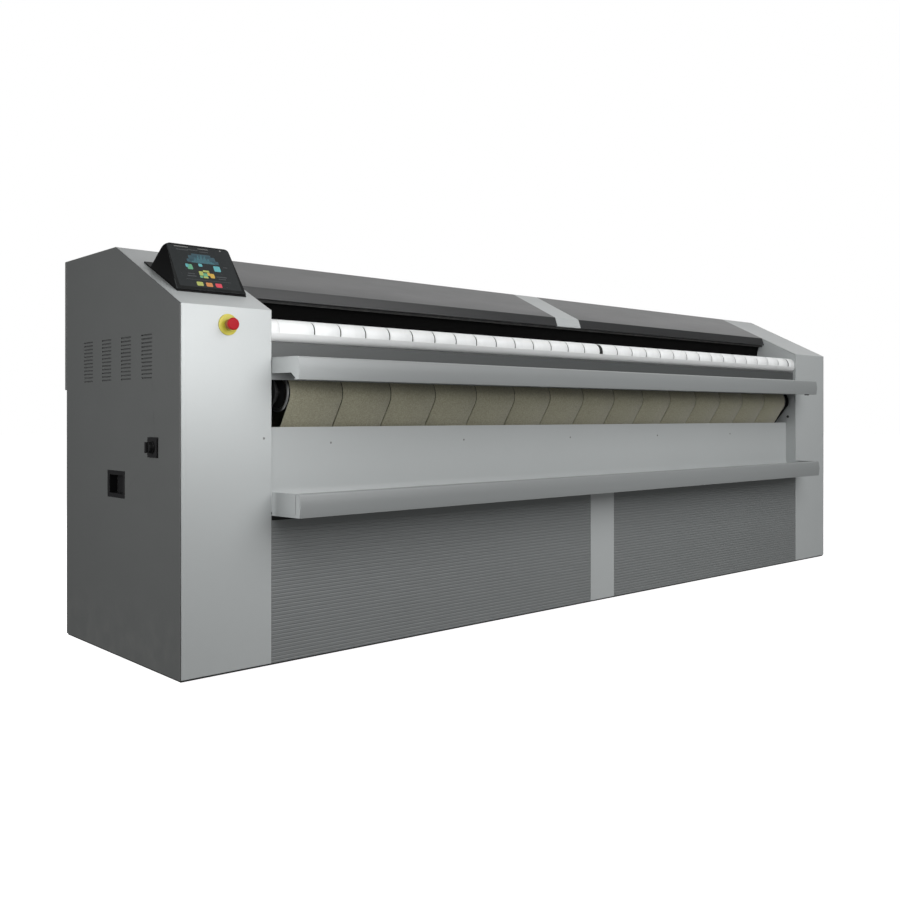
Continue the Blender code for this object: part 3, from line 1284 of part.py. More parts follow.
def fan_case_outline(inset):
    """A round casing with a straight outlet at the top that ends at the rear cover."""
    centre = (FAN_DEPTH, FAN_HEIGHT)
    radius = FAN_CASE_RADIUS - inset
    rear = SIDE_DEPTH - SEAT_GAP - inset
    low = FAN_HEIGHT + FAN_CASE_RADIUS - FAN_OUTLET_RISE + inset
    outlet = math.degrees(math.asin((low - FAN_HEIGHT) / radius))
    points = arc(centre, radius, 90, 360 + outlet, CYLINDER_SIDES // 2)
    return points + [(rear, low), (rear, FAN_HEIGHT + radius)]


def fan_case():
    """Casing with its motor on the outer side and the exhaust collar at the back."""
    start = fan_start()
    end = start + FAN_CASE_WIDTH
    case = prism("exhaust_fan_case", fan_case_outline(0), start, end, "frame_steel")
    centre = (end - FAN_CASE_WALL / 2, FAN_DEPTH, FAN_HEIGHT)
    motor = rod("fan_motor", FAN_MOTOR_RADIUS, FAN_MOTOR_LENGTH, centre, "cast_iron")
    collar_start = SIDE_DEPTH - FAN_CASE_WALL
    length = REAR_COVER_DEPTH + SPIGOT_REACH - collar_start
    centre = (fan_middle(), collar_start, spigot_height())
    collar = rod("exhaust_collar", SPIGOT_RADIUS, length, centre, "bright_steel", axis="Y")
    join(case, motor, collar)
    inner_start = start + FAN_CASE_WALL
    inner_end = end - FAN_CASE_WALL
    cavity = prism("cut_fan_case", fan_case_outline(FAN_CASE_WALL), inner_start, inner_end, "frame_steel")
    middle = (end, FAN_DEPTH, FAN_HEIGHT)
    socket = 2 * (FAN_CASE_WALL + FAN_SHAFT)
    shaft_hole = bore("cut_fan_shaft", FAN_SHAFT + SHAFT_CLEARANCE, middle, socket, SMALL_SIDES)
    inlet_centre = (start + FAN_CASE_WALL / 2, FAN_DEPTH, FAN_HEIGHT)
    inlet = bore("cut_fan_inlet", FAN_INLET_RADIUS, inlet_centre, FAN_CASE_WALL, ROLL_SIDES)
    collar_middle = (fan_middle(), collar_start + length / 2, spigot_height())
    duct = bore("cut_exhaust", SPIGOT_RADIUS - SPIGOT_WALL, collar_middle, length, ROLL_SIDES, "Y")
    return cut(case, cavity, shaft_hole, inlet, duct)


def fan_impeller():
    """A back plate with swept blades on a shaft."""
    start = fan_start()
    plate = start + (FAN_CASE_WIDTH + FAN_WIDTH) / 2
    shaft_end = start + FAN_CASE_WIDTH - plate
    profile = [(-FAN_WIDTH, 0), (-FAN_WIDTH, FAN_HUB_RADIUS)]
    profile += [(-FAN_BACK_PLATE, FAN_HUB_RADIUS), (-FAN_BACK_PLATE, FAN_RADIUS)]
    profile += [(0, FAN_RADIUS), (0, FAN_SHAFT), (shaft_end, FAN_SHAFT), (shaft_end, 0)]
    centre = (plate, FAN_DEPTH, FAN_HEIGHT)
    wheel = turned("fan_impeller", profile, centre, "bright_steel", ROLL_SIDES)
    sweep = math.radians(FAN_BLADE_SWEEP_DEGREES)
    outer = FAN_RADIUS - FAN_BLADE_THICKNESS
    inner = outer - FAN_BLADE_DEPTH
    for blade in range(FAN_BLADES):
        angle = 2 * math.pi * blade / FAN_BLADES
        root = Vector((math.cos(angle), math.sin(angle))) * inner
        tip = Vector((math.cos(angle + sweep), math.sin(angle + sweep))) * outer
        side = (tip - root).normalized().orthogonal() * (FAN_BLADE_THICKNESS / 2)
        corners = [root - side, tip - side, tip + side, root + side]
        outline = [(FAN_DEPTH + corner.x, FAN_HEIGHT + corner.y) for corner in corners]
        end = plate - FAN_BACK_PLATE / 2
        join(wheel, prism(f"fan_blade_{blade}", outline, plate - FAN_WIDTH, end, "bright_steel"))
    return wheel


def screen_bottom():
    """The height at which the screen plate clears the flange."""
    rest = slope_height(CONSOLE_FRONT_DEPTH + SCREEN_THICKNESS) + CONSOLE_FLANGE
    return rest + 2 * SEAT_GAP + SCREEN_THICKNESS / 2


def screen_lean():
    """How far the screen leans back for each unit of height."""
    return (CONSOLE_TOP_DEPTH - CONSOLE_FRONT_DEPTH) / (CONSOLE_TOP_HEIGHT - screen_bottom())


def console_corners():
    """The eight corners of the wedge: four in the flange, four at its top."""
    left = CONSOLE_LEFT
    right = CONSOLE_LEFT + CONSOLE_WIDTH
    behind = SCREEN_THICKNESS + SEAT_GAP
    back = CONSOLE_BACK_DEPTH
    rest = SEAT_GAP + CONSOLE_FLANGE / 2
    low_height = slope_height(CONSOLE_FRONT_DEPTH) + rest
    front = CONSOLE_FRONT_DEPTH + behind - (screen_bottom() - low_height) * screen_lean()
    low = [(left, front, low_height), (right, front, low_height)]
    low += [(right, back, slope_height(back) + rest), (left, back, slope_height(back) + rest)]
    top_left = left + CONSOLE_TOP_INSET
    top_right = right - CONSOLE_TOP_INSET
    top = CONSOLE_TOP_DEPTH + behind
    rear_top = CONSOLE_TOP_DEPTH + CONSOLE_TOP_THICKNESS
    high = [(top_left, top, CONSOLE_TOP_HEIGHT), (top_right, top, CONSOLE_TOP_HEIGHT)]
    high += [(top_right, rear_top, CONSOLE_TOP_HEIGHT), (top_left, rear_top, CONSOLE_TOP_HEIGHT)]
    return low, high


def console():
    """The wedge housing with its flange on the slope, and the screen plate in front of it."""
    low, high = console_corners()
    shape = bmesh.new()
    low_verts = [shape.verts.new(corner) for corner in low]
    high_verts = [shape.verts.new(corner) for corner in high]
    shape.faces.new(low_verts)
    shape.faces.new(high_verts)
    for index in range(len(low_verts)):
        following = (index + 1) % len(low_verts)
        lower = [low_verts[index], low_verts[following]]
        shape.faces.new(lower + [high_verts[following], high_verts[index]])
    ends = ({high_verts[0], high_verts[3]}, {high_verts[1], high_verts[2]})
    across = [edge for edge in shape.edges if set(edge.verts) in ends]
    bmesh.ops.bevel(
        shape,
        geom=across,
        offset=SCREEN_CORNER,
        segments=CORNER_STEPS,
        profile=CORNER_PROFILE_SHARE,
        affect="EDGES",
    )
    housing = add_mesh("console_housing", shape, "black_plastic", place(0, 0, 0))
    front = CONSOLE_FRONT_DEPTH
    rear = CONSOLE_REAR_DEPTH
    flange = [(front, slope_height(front) + SEAT_GAP), (rear, slope_height(rear) + SEAT_GAP)]
    flange += [(rear, slope_height(rear) + SEAT_GAP + CONSOLE_FLANGE)]
    flange += [(front, slope_height(front) + SEAT_GAP + CONSOLE_FLANGE)]
    end = CONSOLE_LEFT + CONSOLE_WIDTH
    join(housing, prism("console_flange", flange, CONSOLE_LEFT, end, "black_plastic"))
    console_screen()


def console_screen():
    """A glass plate with round upper corners, leaning with the wedge."""
    bottom = screen_bottom()
    lean = math.atan(screen_lean())
    rise = (CONSOLE_TOP_HEIGHT - bottom) / math.cos(lean)
    half = CONSOLE_WIDTH / 2
    top_half = half - CONSOLE_TOP_INSET
    corner = (top_half - SCREEN_CORNER, rise - SCREEN_CORNER)
    outline = [(-half, 0), (half, 0)]
    outline += arc(corner, SCREEN_CORNER, 0, 90)
    outline += arc((-corner[0], corner[1]), SCREEN_CORNER, 90, 180)
    shape = bmesh.new()
    front = [shape.verts.new((x, 0, z)) for x, z in outline]
    back = [shape.verts.new((x, SCREEN_THICKNESS * math.cos(lean), z)) for x, z in outline]
    shape.faces.new(front)
    shape.faces.new(list(reversed(back)))
    for index in range(len(outline)):
        following = (index + 1) % len(outline)
        shape.faces.new((front[index], back[index], back[following], front[following]))
    place_at = place(CONSOLE_LEFT + half, CONSOLE_FRONT_DEPTH, bottom)
    screen = add_mesh("console_screen", shape, "screen_glass", place_at)
    screen.rotation_euler = (-lean, 0, 0)
    return screen


def emergency_stop():
    """Yellow disc with its barrel, a stem that slides in it and a head that turns on the stem."""
    bore_corner = around(ESTOP_BORE, ROLL_SIDES)
    disc_front = -SEAT_GAP - ESTOP_DISC_THICKNESS
    profile = [
        (ESTOP_BARREL_LENGTH, bore_corner),
        (ESTOP_BARREL_LENGTH, ESTOP_BARREL_RADIUS),
        (-SEAT_GAP, ESTOP_BARREL_RADIUS),
        (-SEAT_GAP, ESTOP_DISC_RADIUS),
        (disc_front + ESTOP_DISC_ROUND, ESTOP_DISC_RADIUS),
        (disc_front, ESTOP_DISC_RADIUS - ESTOP_DISC_ROUND),
        (disc_front, ESTOP_COLLAR_RADIUS),
        (disc_front - ESTOP_COLLAR_LENGTH, ESTOP_COLLAR_RADIUS),
        (disc_front - ESTOP_COLLAR_LENGTH, bore_corner),
    ]
    centre = (ESTOP_ACROSS, 0, ESTOP_HEIGHT)
    turned("emergency_stop_base", profile, centre, "yellow_plastic", ROLL_SIDES, "Y", closed=True)
    collar_front = disc_front - ESTOP_COLLAR_LENGTH
    neck_front = collar_front - ESTOP_TRAVEL - SHEET
    spindle_front = neck_front - ESTOP_SPINDLE_LENGTH
    profile = [(ESTOP_STEM_INSIDE, 0), (ESTOP_STEM_INSIDE, ESTOP_STEM_RADIUS)]
    profile += [(neck_front, ESTOP_STEM_RADIUS), (neck_front, ESTOP_SPINDLE_RADIUS)]
    profile += [(spindle_front, ESTOP_SPINDLE_RADIUS), (spindle_front, 0)]
    turned("emergency_stop_stem", profile, centre, "red_plastic", ROLL_SIDES, "Y")
    back = neck_front - SEAT_GAP
    front = back - ESTOP_HEAD_LENGTH
    hole = around(ESTOP_SPINDLE_RADIUS + SHAFT_CLEARANCE, ROLL_SIDES)
    hole_end = spindle_front - SHAFT_CLEARANCE
    profile = [(back, hole), (back, ESTOP_HEAD_BASE_RADIUS), (front + ESTOP_HEAD_ROUND, ESTOP_HEAD_RADIUS)]
    profile += [(front, ESTOP_HEAD_RADIUS - ESTOP_HEAD_ROUND), (front, 0)]
    profile += [(hole_end, 0), (hole_end, hole)]
    turned("emergency_stop_head", profile, centre, "red_plastic", ROLL_SIDES, "Y", closed=True)


def main_switch():
    """Square plate and the switch body behind the cover, then the knob that turns on them."""
    half = SWITCH_PLATE / 2
    low = (-SEAT_GAP - SWITCH_PLATE_THICKNESS, SWITCH_DEPTH - half, SWITCH_HEIGHT - half)
    high = (-SEAT_GAP, SWITCH_DEPTH + half, SWITCH_HEIGHT + half)
    base = block("main_switch_base", low, high, "black_plastic")
    join(base, switch_body())
    middle = (0, SWITCH_DEPTH, SWITCH_HEIGHT)
    socket = 2 * (SHEET + SWITCH_SPINDLE + SEAT_GAP + SWITCH_PLATE_THICKNESS)
    radius = SWITCH_SPINDLE + SHAFT_CLEARANCE
    cut(base, bore("cut_switch_socket", radius, middle, socket, SMALL_SIDES))
    main_switch_knob(low[0] - SEAT_GAP)


def main_switch_knob(plate_face):
    """A round knob with a raised grip, on a spindle that ends in the switch body."""
    shoulder = (SWITCH_REACH + plate_face) * SWITCH_BASE_SHARE - SWITCH_REACH
    collar_face = plate_face - SWITCH_COLLAR_LENGTH
    spindle_end = SHEET + SWITCH_SPINDLE
    profile = [(shoulder, 0), (shoulder, SWITCH_KNOB_RADIUS), (collar_face, SWITCH_KNOB_RADIUS)]
    profile += [(collar_face, SWITCH_COLLAR_RADIUS), (plate_face, SWITCH_COLLAR_RADIUS)]
    profile += [(plate_face, SWITCH_SPINDLE), (spindle_end, SWITCH_SPINDLE), (spindle_end, 0)]
    centre = (0, SWITCH_DEPTH, SWITCH_HEIGHT)
    knob = turned("main_switch_knob", profile, centre, "black_plastic", ROLL_SIDES)
    half = SWITCH_GRIP_WIDTH / 2
    low = (-SWITCH_REACH, SWITCH_DEPTH - half, SWITCH_HEIGHT - SWITCH_KNOB_RADIUS)
    grip_end = plate_face - SWITCH_COLLAR_LENGTH / 2
    high = (grip_end, SWITCH_DEPTH + half, SWITCH_HEIGHT + SWITCH_KNOB_RADIUS)
    return join(knob, block("switch_grip", low, high, "black_plastic"))


def switch_body():
    """The switch block behind the side cover, with a neck that passes through it."""
    half = SWITCH_BODY_SIZE / 2
    start = SHEET + SEAT_GAP
    low = (start, SWITCH_DEPTH - half, SWITCH_HEIGHT - half)
    high = (start + SWITCH_BODY_LENGTH, SWITCH_DEPTH + half, SWITCH_HEIGHT + half)
    body = block("switch_body", low, high, "black_plastic")
    length = start + SWITCH_PLATE_THICKNESS
    centre = (-SWITCH_PLATE_THICKNESS / 2, SWITCH_DEPTH, SWITCH_HEIGHT)
    neck = rod("switch_neck", SWITCH_NECK_RADIUS, length, centre, "black_plastic", SMALL_SIDES)
    return join(body, neck)


def levelling_foot(name, across, depth):
    """A round pad with a threaded stem screwed into the frame's base."""
    top = base_bottom() + FRAME_BASE
    profile = [(0, 0), (0, FOOT_RADIUS), (FOOT_PAD, FOOT_RADIUS)]
    profile += [(FOOT_PAD, FOOT_STEM_RADIUS), (top, FOOT_STEM_RADIUS), (top, 0)]
    return turned(name, profile, (across, depth, 0), "bright_steel", SMALL_SIDES, "Z")


def feet():
    """One levelling foot near each corner."""
    places = {
        "left_front": (FOOT_ACROSS, FOOT_FRONT_DEPTH),
        "left_rear": (FOOT_ACROSS, FOOT_REAR_DEPTH),
        "right_front": (OVERALL_WIDTH - FOOT_ACROSS, FOOT_FRONT_DEPTH),
        "right_rear": (OVERALL_WIDTH - FOOT_ACROSS, FOOT_REAR_DEPTH),
    }
    for name, (across, depth) in places.items():
        levelling_foot(f"levelling_foot_{name}", across, depth)


def cable_gland():
    """The gland in the lower rear cover where the supply cable enters."""
    corner = around(GLAND_BORE, SMALL_SIDES)
    profile = [
        (-GLAND_THREAD, corner),
        (-GLAND_THREAD, GLAND_THREAD_RADIUS),
        (SEAT_GAP, GLAND_THREAD_RADIUS),
        (SEAT_GAP, GLAND_RADIUS),
        (GLAND_HEAD, GLAND_RADIUS),
        (GLAND_HEAD, corner),
    ]
    centre = (GLAND_ACROSS, SIDE_DEPTH, GLAND_HEIGHT)
    return turned("cable_gland", profile, centre, "black_plastic", SMALL_SIDES, "Y", closed=True)


def build():
    """Builds every piece in turn."""
    clear_scene()
    for side in ("left", "right"):
        side_frame(side)
        front_cover(side)
        side_cover(side)
        roll_bracket(side)
        feed_belts(side)
        cylinder_flange(side)
        cylinder_bearing(side)
    recess_handle()
    rear_upper_cover()
    rear_lower_cover()
    hoods()
    finger_guard()
    for name, (depth, height, radius) in ROLLS.items():
        roll(name, depth, height, radius)
    front_roll()
    ironing_belts()
    feed_bed()
    nose_guard()
    feed_fascia()
    table_lip()
    return_tray()
    lower_front()
    beam("front_beam", BEAM_FRONT_DEPTH, BEAM_HEIGHT, BEAM_SIZE)
    beam("rear_beam", BEAM_REAR_DEPTH, BEAM_HEIGHT, BEAM_SIZE)
    beam("top_beam", BEAM_REAR_DEPTH, TOP_BEAM_HEIGHT, TOP_BEAM_SIZE)
    cylinder_shell()
    heater_tube()
    drive()
    fan_case()
    fan_impeller()
    console()
    emergency_stop()
    main_switch()
    feet()
    cable_gland()


build()
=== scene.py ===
"""Looks of the flatwork ironer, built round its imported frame.

Laid out as an add-on and run as a script. Everything is in metres: X runs across the machine from its
left cabinet to its right one, Y runs from the operator to the back and Z is up.
"""

import json
import math

import bmesh
import bpy
from bpy.props import (
    FloatProperty,
    FloatVectorProperty,
    IntProperty,
    PointerProperty,
)
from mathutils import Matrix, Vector

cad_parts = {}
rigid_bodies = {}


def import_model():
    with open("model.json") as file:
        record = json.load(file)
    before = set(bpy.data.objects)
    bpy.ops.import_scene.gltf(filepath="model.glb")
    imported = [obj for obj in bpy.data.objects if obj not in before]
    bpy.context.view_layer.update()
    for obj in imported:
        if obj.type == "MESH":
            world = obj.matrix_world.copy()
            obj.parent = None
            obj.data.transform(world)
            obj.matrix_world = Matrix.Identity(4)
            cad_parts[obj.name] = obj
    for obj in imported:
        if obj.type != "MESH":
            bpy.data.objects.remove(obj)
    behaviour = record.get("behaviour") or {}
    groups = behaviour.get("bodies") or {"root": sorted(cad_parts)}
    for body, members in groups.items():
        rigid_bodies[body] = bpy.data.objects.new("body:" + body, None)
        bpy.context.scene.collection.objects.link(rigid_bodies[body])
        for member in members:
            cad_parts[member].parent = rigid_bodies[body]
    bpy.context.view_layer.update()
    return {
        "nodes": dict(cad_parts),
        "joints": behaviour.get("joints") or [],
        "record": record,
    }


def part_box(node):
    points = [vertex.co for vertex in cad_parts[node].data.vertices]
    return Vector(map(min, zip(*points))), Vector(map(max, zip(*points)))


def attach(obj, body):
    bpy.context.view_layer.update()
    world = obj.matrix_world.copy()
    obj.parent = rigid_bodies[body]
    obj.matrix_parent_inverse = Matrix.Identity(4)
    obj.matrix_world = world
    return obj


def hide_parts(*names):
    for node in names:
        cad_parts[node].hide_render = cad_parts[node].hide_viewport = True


bl_info = {
    "name": "Flatwork ironer looks",
    "version": (1, 0, 0),
    "blender": (4, 5, 0),
    "location": "View3D > Sidebar > Ironer",
    "description": "Belts, controls, fittings, finishes and stage for a cylinder flatwork ironer",
    "category": "Object",
}


def clear_scene():
    """Removes every object that the file starts with."""
    for existing in list(bpy.data.objects):
        bpy.data.objects.remove(existing, do_unlink=True)


clear_scene()
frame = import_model()
JOINTS = {joint["name"]: joint for joint in frame["joints"]}
COLOURS = {entry["slot"]: tuple(entry["base_color"]) for entry in frame["record"]["materials"]}


def axis_at(joint):
    """The y, z place of a joint whose axis runs across the machine."""
    _, y, z = JOINTS[joint]["pos_m"]
    return Vector((y, z))


# Radii of the rolls and of the cylinder
CYLINDER_RADIUS = 0.250
FRONT_ROLL_RADIUS = 0.067
LOWER_ROLL_RADIUS = 0.045
REAR_ROLL_RADIUS = 0.040
ENTRY_ROLL_RADIUS = 0.030
FEED_FRONT_RADIUS = 0.036
FEED_REAR_RADIUS = 0.030
BELT_CLEARANCE = 0.0003

# Softened edges of the belts, and the angle in degrees from which their edges stay sharp
FELT_EDGE = 0.0007
FEED_BELT_EDGE = 0.0006
BELT_CREASE = 50.0


# Sizes and colours


def length_setting(name, description, default):
    return FloatProperty(name=name, description=description, default=default, unit="LENGTH")


def power_setting(name, description, default):
    return FloatProperty(name=name, description=description, default=default, unit="POWER")


def colour_setting(name, description, default):
    return FloatVectorProperty(
        name=name, description=description, default=default, subtype="COLOR", min=0, max=1
    )


def place_setting(name, description, default):
    return FloatVectorProperty(name=name, description=description, default=default, subtype="TRANSLATION")


class IronerBelts(bpy.types.PropertyGroup):
    """Sizes of the felt belts and of the feed belts."""

    felt_count: IntProperty(name="Felt belts", description="Felt belts side by side", default=15, min=1)
    felt_gap: length_setting("Felt gap", "Gap between two felt belts", 0.004)
    felt_thickness: length_setting("Felt thickness", "Thickness of a felt belt", 0.003)
    feed_count: IntProperty(name="Feed belts", description="Feed belts in one half", default=15, min=1)
    feed_gap: length_setting("Feed gap", "Gap between two feed belts", 0.005)
    feed_thickness: length_setting("Feed thickness", "Thickness of a feed belt", 0.0025)
    feed_edge: length_setting("Edge strip", "Width of the outer edge strip", 0.028)
    middle_gap: length_setting("Middle gap", "What the middle gap takes of each half", 0.004)
    feed_end_gap: length_setting("End gap", "Gap before the right edge strip", 0.012)


class IronerFinish(bpy.types.PropertyGroup):
    """Colours of paint, felt and plastic."""

    light_paint: colour_setting("Light paint", "Cabinet fronts and return panel", (0.474, 0.496, 0.497))
    dark_paint: colour_setting("Dark paint", "Side and rear covers", (0.068, 0.071, 0.070))
    hood_paint: colour_setting("Hood paint", "Hood halves", (0.030, 0.031, 0.032))
    # Darker copy of the light paint: painted shade on the fronts of the table lip and the tray's lip
    shaded_lip_paint: colour_setting("Lip paint", "Table lip and lip of the return tray", (0.282, 0.296, 0.297))
    rib_paint: colour_setting("Rib paint", "Ribbed panels", (0.212, 0.223, 0.224))
    # Near black: painted shade of the feed opening behind the finger guard
    guard_shade_black_paint: colour_setting("Guard paint", "Finger guard", (0.003, 0.003, 0.003))
    felt: colour_setting("Felt", "Ironing belts", (0.345, 0.330, 0.238))
    feed_belt: colour_setting("Feed belt", "Coated feed belts", (0.93, 0.945, 0.945))


class IronerStage(bpy.types.PropertyGroup):
    """Camera and light."""

    lens: FloatProperty(name="Lens", description="Focal length in millimetres", default=39.232)
    yaw: FloatProperty(
        name="Yaw", description="Turn of the camera to the right of straight ahead",
        default=math.radians(42.26), subtype="ANGLE",
    )
    shift: FloatProperty(name="Shift", description="Vertical shift of the camera", default=-0.0379)
    eye: place_setting("Eye", "Where the camera stands", (-3.538, -3.291, 0.849))
    key: power_setting("Key light", "Power of the key light", 2.9)
    key_place: place_setting("Key place", "Where the key light stands", (-2.00, -0.98, 1.14))
    key_target: place_setting("Key target", "What the key light faces", (-1.95, -0.42, 1.10))
    key_size: length_setting("Key size", "Side of the key light", 0.45)
    fill: power_setting("Fill light", "Power of the fill light", 105.0)
    wide: power_setting("Wide light", "Power of the wide light", 122.0)
    card: power_setting("Card", "Power of the reflector card", 450.0)
    back: power_setting("Back light", "Power of the light behind", 150.0)
    floor: FloatProperty(name="Floor glow", description="How bright the floor is", default=0.93, min=0)
    room: FloatVectorProperty(
        name="Room", description="Light from below, from all round and from above", default=(0.08, 0.36, 0.23)
    )
    gloss: FloatVectorProperty(
        name="Gloss", description="What gloss mirrors below, all round and above", default=(0.25, 0.03, 0.02)
    )


# Surfaces


class Value:
    """An output socket of a surface. Arithmetic on it adds Math nodes."""

    def __init__(self, surface, socket):
        self.surface = surface
        self.socket = socket

    def math(self, operation, first, second=0.0):
        return self.surface.node("ShaderNodeMath", {"operation": operation}, {0: first, 1: second})

    def __add__(self, other):
        return self.math("ADD", self, other)

    def __radd__(self, other):
        return self.math("ADD", other, self)

    def __sub__(self, other):
        return self.math("SUBTRACT", self, other)

    def __rsub__(self, other):
        return self.math("SUBTRACT", other, self)

    def __mul__(self, other):
        return self.math("MULTIPLY", self, other)

    def __rmul__(self, other):
        return self.math("MULTIPLY", other, self)

    def sine(self):
        return self.math("SINE", self)

    def step(self, start, end):
        """0 below start, 1 above end and a smooth rise between them. start may be the larger one."""
        settings = {"interpolation_type": "SMOOTHSTEP"}
        low, high = min(start, end), max(start, end)
        rising = self.surface.node("ShaderNodeMapRange", settings, {0: self, 1: low, 2: high})
        return rising if start < end else 1 - rising


class Nodes:
    """A node tree whose nodes all come from one method."""

    def __init__(self, tree, coordinates):
        self.tree = tree
        self.tree.nodes.clear()
        self.place = self.node("ShaderNodeTexCoord", output=coordinates)

    def node(self, kind, settings=None, sockets=None, output=0):
        """Adds a node: its settings first, then the values or links of its sockets."""
        made = self.tree.nodes.new(kind)
        for key, setting in (settings or {}).items():
            if key == "stops":
                self.fill_ramp(made.color_ramp, setting)
            else:
                setattr(made, key, setting)
        for key, value in (sockets or {}).items():
            if isinstance(value, Value):
                self.tree.links.new(value.socket, made.inputs[key])
            else:
                made.inputs[key].default_value = value
        return Value(self, made.outputs[output]) if made.outputs else None

    def fill_ramp(self, ramp, stops):
        while len(ramp.elements) < len(stops):
            ramp.elements.new(1.0)
        for element, (position, colour) in zip(ramp.elements, stops):
            element.position = position
            element.color = (*colour, 1.0)

    def split(self):
        """The x, y and z of the place that is shaded."""
        made = self.node("ShaderNodeSeparateXYZ", sockets={0: self.place})
        outputs = made.socket.node.outputs
        return [Value(self, outputs[index]) for index in range(3)]

    def ramp(self, share, stops):
        return self.node("ShaderNodeValToRGB", {"stops": stops}, {0: share})


class Surface(Nodes):
    """A material that ends in a Principled shader."""

    def __init__(self, name):
        self.material = bpy.data.materials.new(name)
        self.material.use_nodes = True
        super().__init__(self.material.node_tree, "Object")

    def noise(self, scale, detail=2.0, roughness=0.5, stretch=(1.0, 1.0, 1.0), seed=0.0):
        """Grey noise. scale is in features per metre, and stretch multiplies it along each axis."""
        moved = self.node(
            "ShaderNodeMapping", sockets={0: self.place, 1: (seed, seed * 1.7, seed * 2.3), 3: stretch}
        )
        return self.node(
            "ShaderNodeTexNoise",
            sockets={"Vector": moved, "Scale": scale, "Detail": detail, "Roughness": roughness},
        )

    def cells(self, scale, output="Distance", randomness=1.0):
        return self.node(
            "ShaderNodeTexVoronoi",
            sockets={"Vector": self.place, "Scale": scale, "Randomness": randomness},
            output=output,
        )

    def mix(self, share, first, second):
        """The first colour where share is 0 and the second where it is 1."""
        sockets = {0: share, 6: opaque(first), 7: opaque(second)}
        return self.node("ShaderNodeMix", {"data_type": "RGBA"}, sockets, output=2)

    def bump(self, height, distance, below=None):
        """The normal of a relief that stands distance metres high, laid over another one."""
        sockets = {"Height": height, "Distance": distance, "Strength": 1.0}
        if below:
            sockets["Normal"] = below
        return self.node("ShaderNodeBump", sockets=sockets)

    def close(self, colour, roughness, normal=None, **uniform):
        """Ends the surface in a Principled shader. uniform values are the same all over it."""
        sockets = {"Base Color": opaque(colour), "Roughness": roughness}
        if normal:
            sockets["Normal"] = normal
        for key, value in uniform.items():
            sockets[key.replace("_", " ").title().replace("Ior", "IOR")] = value
        shader = self.node("ShaderNodeBsdfPrincipled", sockets=sockets)
        self.node("ShaderNodeOutputMaterial", sockets={0: shader})
        return self.material


def opaque(colour):
    """A colour with full alpha, or the link as it is."""
    if isinstance(colour, Value) or len(colour) == 4:
        return colour
    return (*colour, 1.0)


def tinted(colour, share):
    """The colour made lighter or darker by a share of itself."""
    return tuple(min(1.0, max(0.0, channel * (1 + share))) for channel in colour)


def powder_coat(name, colour, roughness, grain, wear):
    """Textured powder coat: orange peel, faint clouds, small scuffs and dust near the floor."""
    surface = Surface(name)
    _, _, height = surface.split()
    clouds = surface.noise(2.6, 4.0, 0.6)
    peel = surface.noise(620.0, 2.0, 0.5)
    speck = surface.noise(2600.0, 1.0, 0.5, seed=3.0)
    painted = surface.mix(clouds, tinted(colour, -0.025), tinted(colour, 0.025))
    painted = surface.mix(speck.step(0.62, 0.80) * 0.25, painted, tinted(colour, 0.25))
    dust = height.step(0.30, 0.02) * surface.noise(14.0, 5.0, 0.65, seed=7.0).step(0.35, 0.75)
    painted = surface.mix(dust * 0.03, painted, (0.36, 0.34, 0.31))
    scuff = surface.noise(70.0, 4.0, 0.65, (0.25, 1.0, 1.6), 19.0).step(0.66, 0.80)
    painted = surface.mix(scuff * wear * 0.3, painted, tinted(colour, 0.3))
    smear = surface.noise(5.0, 5.0, 0.7, (0.4, 1.0, 2.5), 11.0)
    rough = roughness - 0.06 + smear * 0.12 + dust * 0.05
    normal = surface.bump(peel, grain)
    normal = surface.bump(speck, grain * 0.35, normal)
    return surface.close(painted, rough, normal)


def coat_with_shaded_lip(name, lip, panel):
    """Powder coat whose lip, before the cabinets' front face, is darker than the panel behind it: painted
    shade on the lip.
    """
    surface = Surface(name)
    _, depth, _ = surface.split()
    # The panel behind the face keeps the light paint, and the lip before it takes the painted shade
    behind = depth.step(cabinet_face() - 0.030, cabinet_face() - 0.005)
    peel = surface.noise(620.0)
    painted = surface.mix(behind, lip, panel)
    painted = surface.mix(surface.noise(2.6, 4.0, 0.6) * 0.06, painted, (0.2, 0.2, 0.2))
    rough = 0.36 + surface.noise(5.0, 5.0, 0.7, (0.4, 1.0, 2.5), 11.0) * 0.10
    return surface.close(painted, rough, surface.bump(peel, 0.00007))


def shade_black_guard_coat(name, colour):
    """Near-black dull coat, painted shade of the deep feed opening, rubbed in places."""
    surface = Surface(name)
    skin = surface.noise(500.0, 3.0, 0.6)
    rubbed = surface.noise(30.0, 5.0, 0.7, (0.3, 1.0, 1.0), 4.0).step(0.55, 0.80)
    tone = surface.mix(rubbed * 0.3, colour, tinted(colour, 0.6))
    rough = 0.62 + skin * 0.2
    return surface.close(tone, rough, surface.bump(skin, 0.00005), specular_ior_level=0.05)


def gloss_paint(name, colour):
    """Smooth stove enamel with a faint wave and fine scratches."""
    surface = Surface(name)
    wave = surface.noise(9.0, 2.0)
    scratch = surface.noise(60.0, 3.0, 0.6, (0.05, 4.0, 4.0), 5.0).step(0.60, 0.78)
    painted = surface.mix(surface.noise(3.0, 3.0), tinted(colour, -0.03), tinted(colour, 0.02))
    painted = surface.mix(scratch * 0.10, painted, tinted(colour, -0.25))
    rough = 0.24 + surface.noise(7.0, 4.0, 0.6, seed=9.0) * 0.12 + scratch * 0.10
    normal = surface.bump(wave, 0.00025)
    normal = surface.bump(surface.noise(700.0), 0.00001, normal)
    return surface.close(painted, rough, normal)


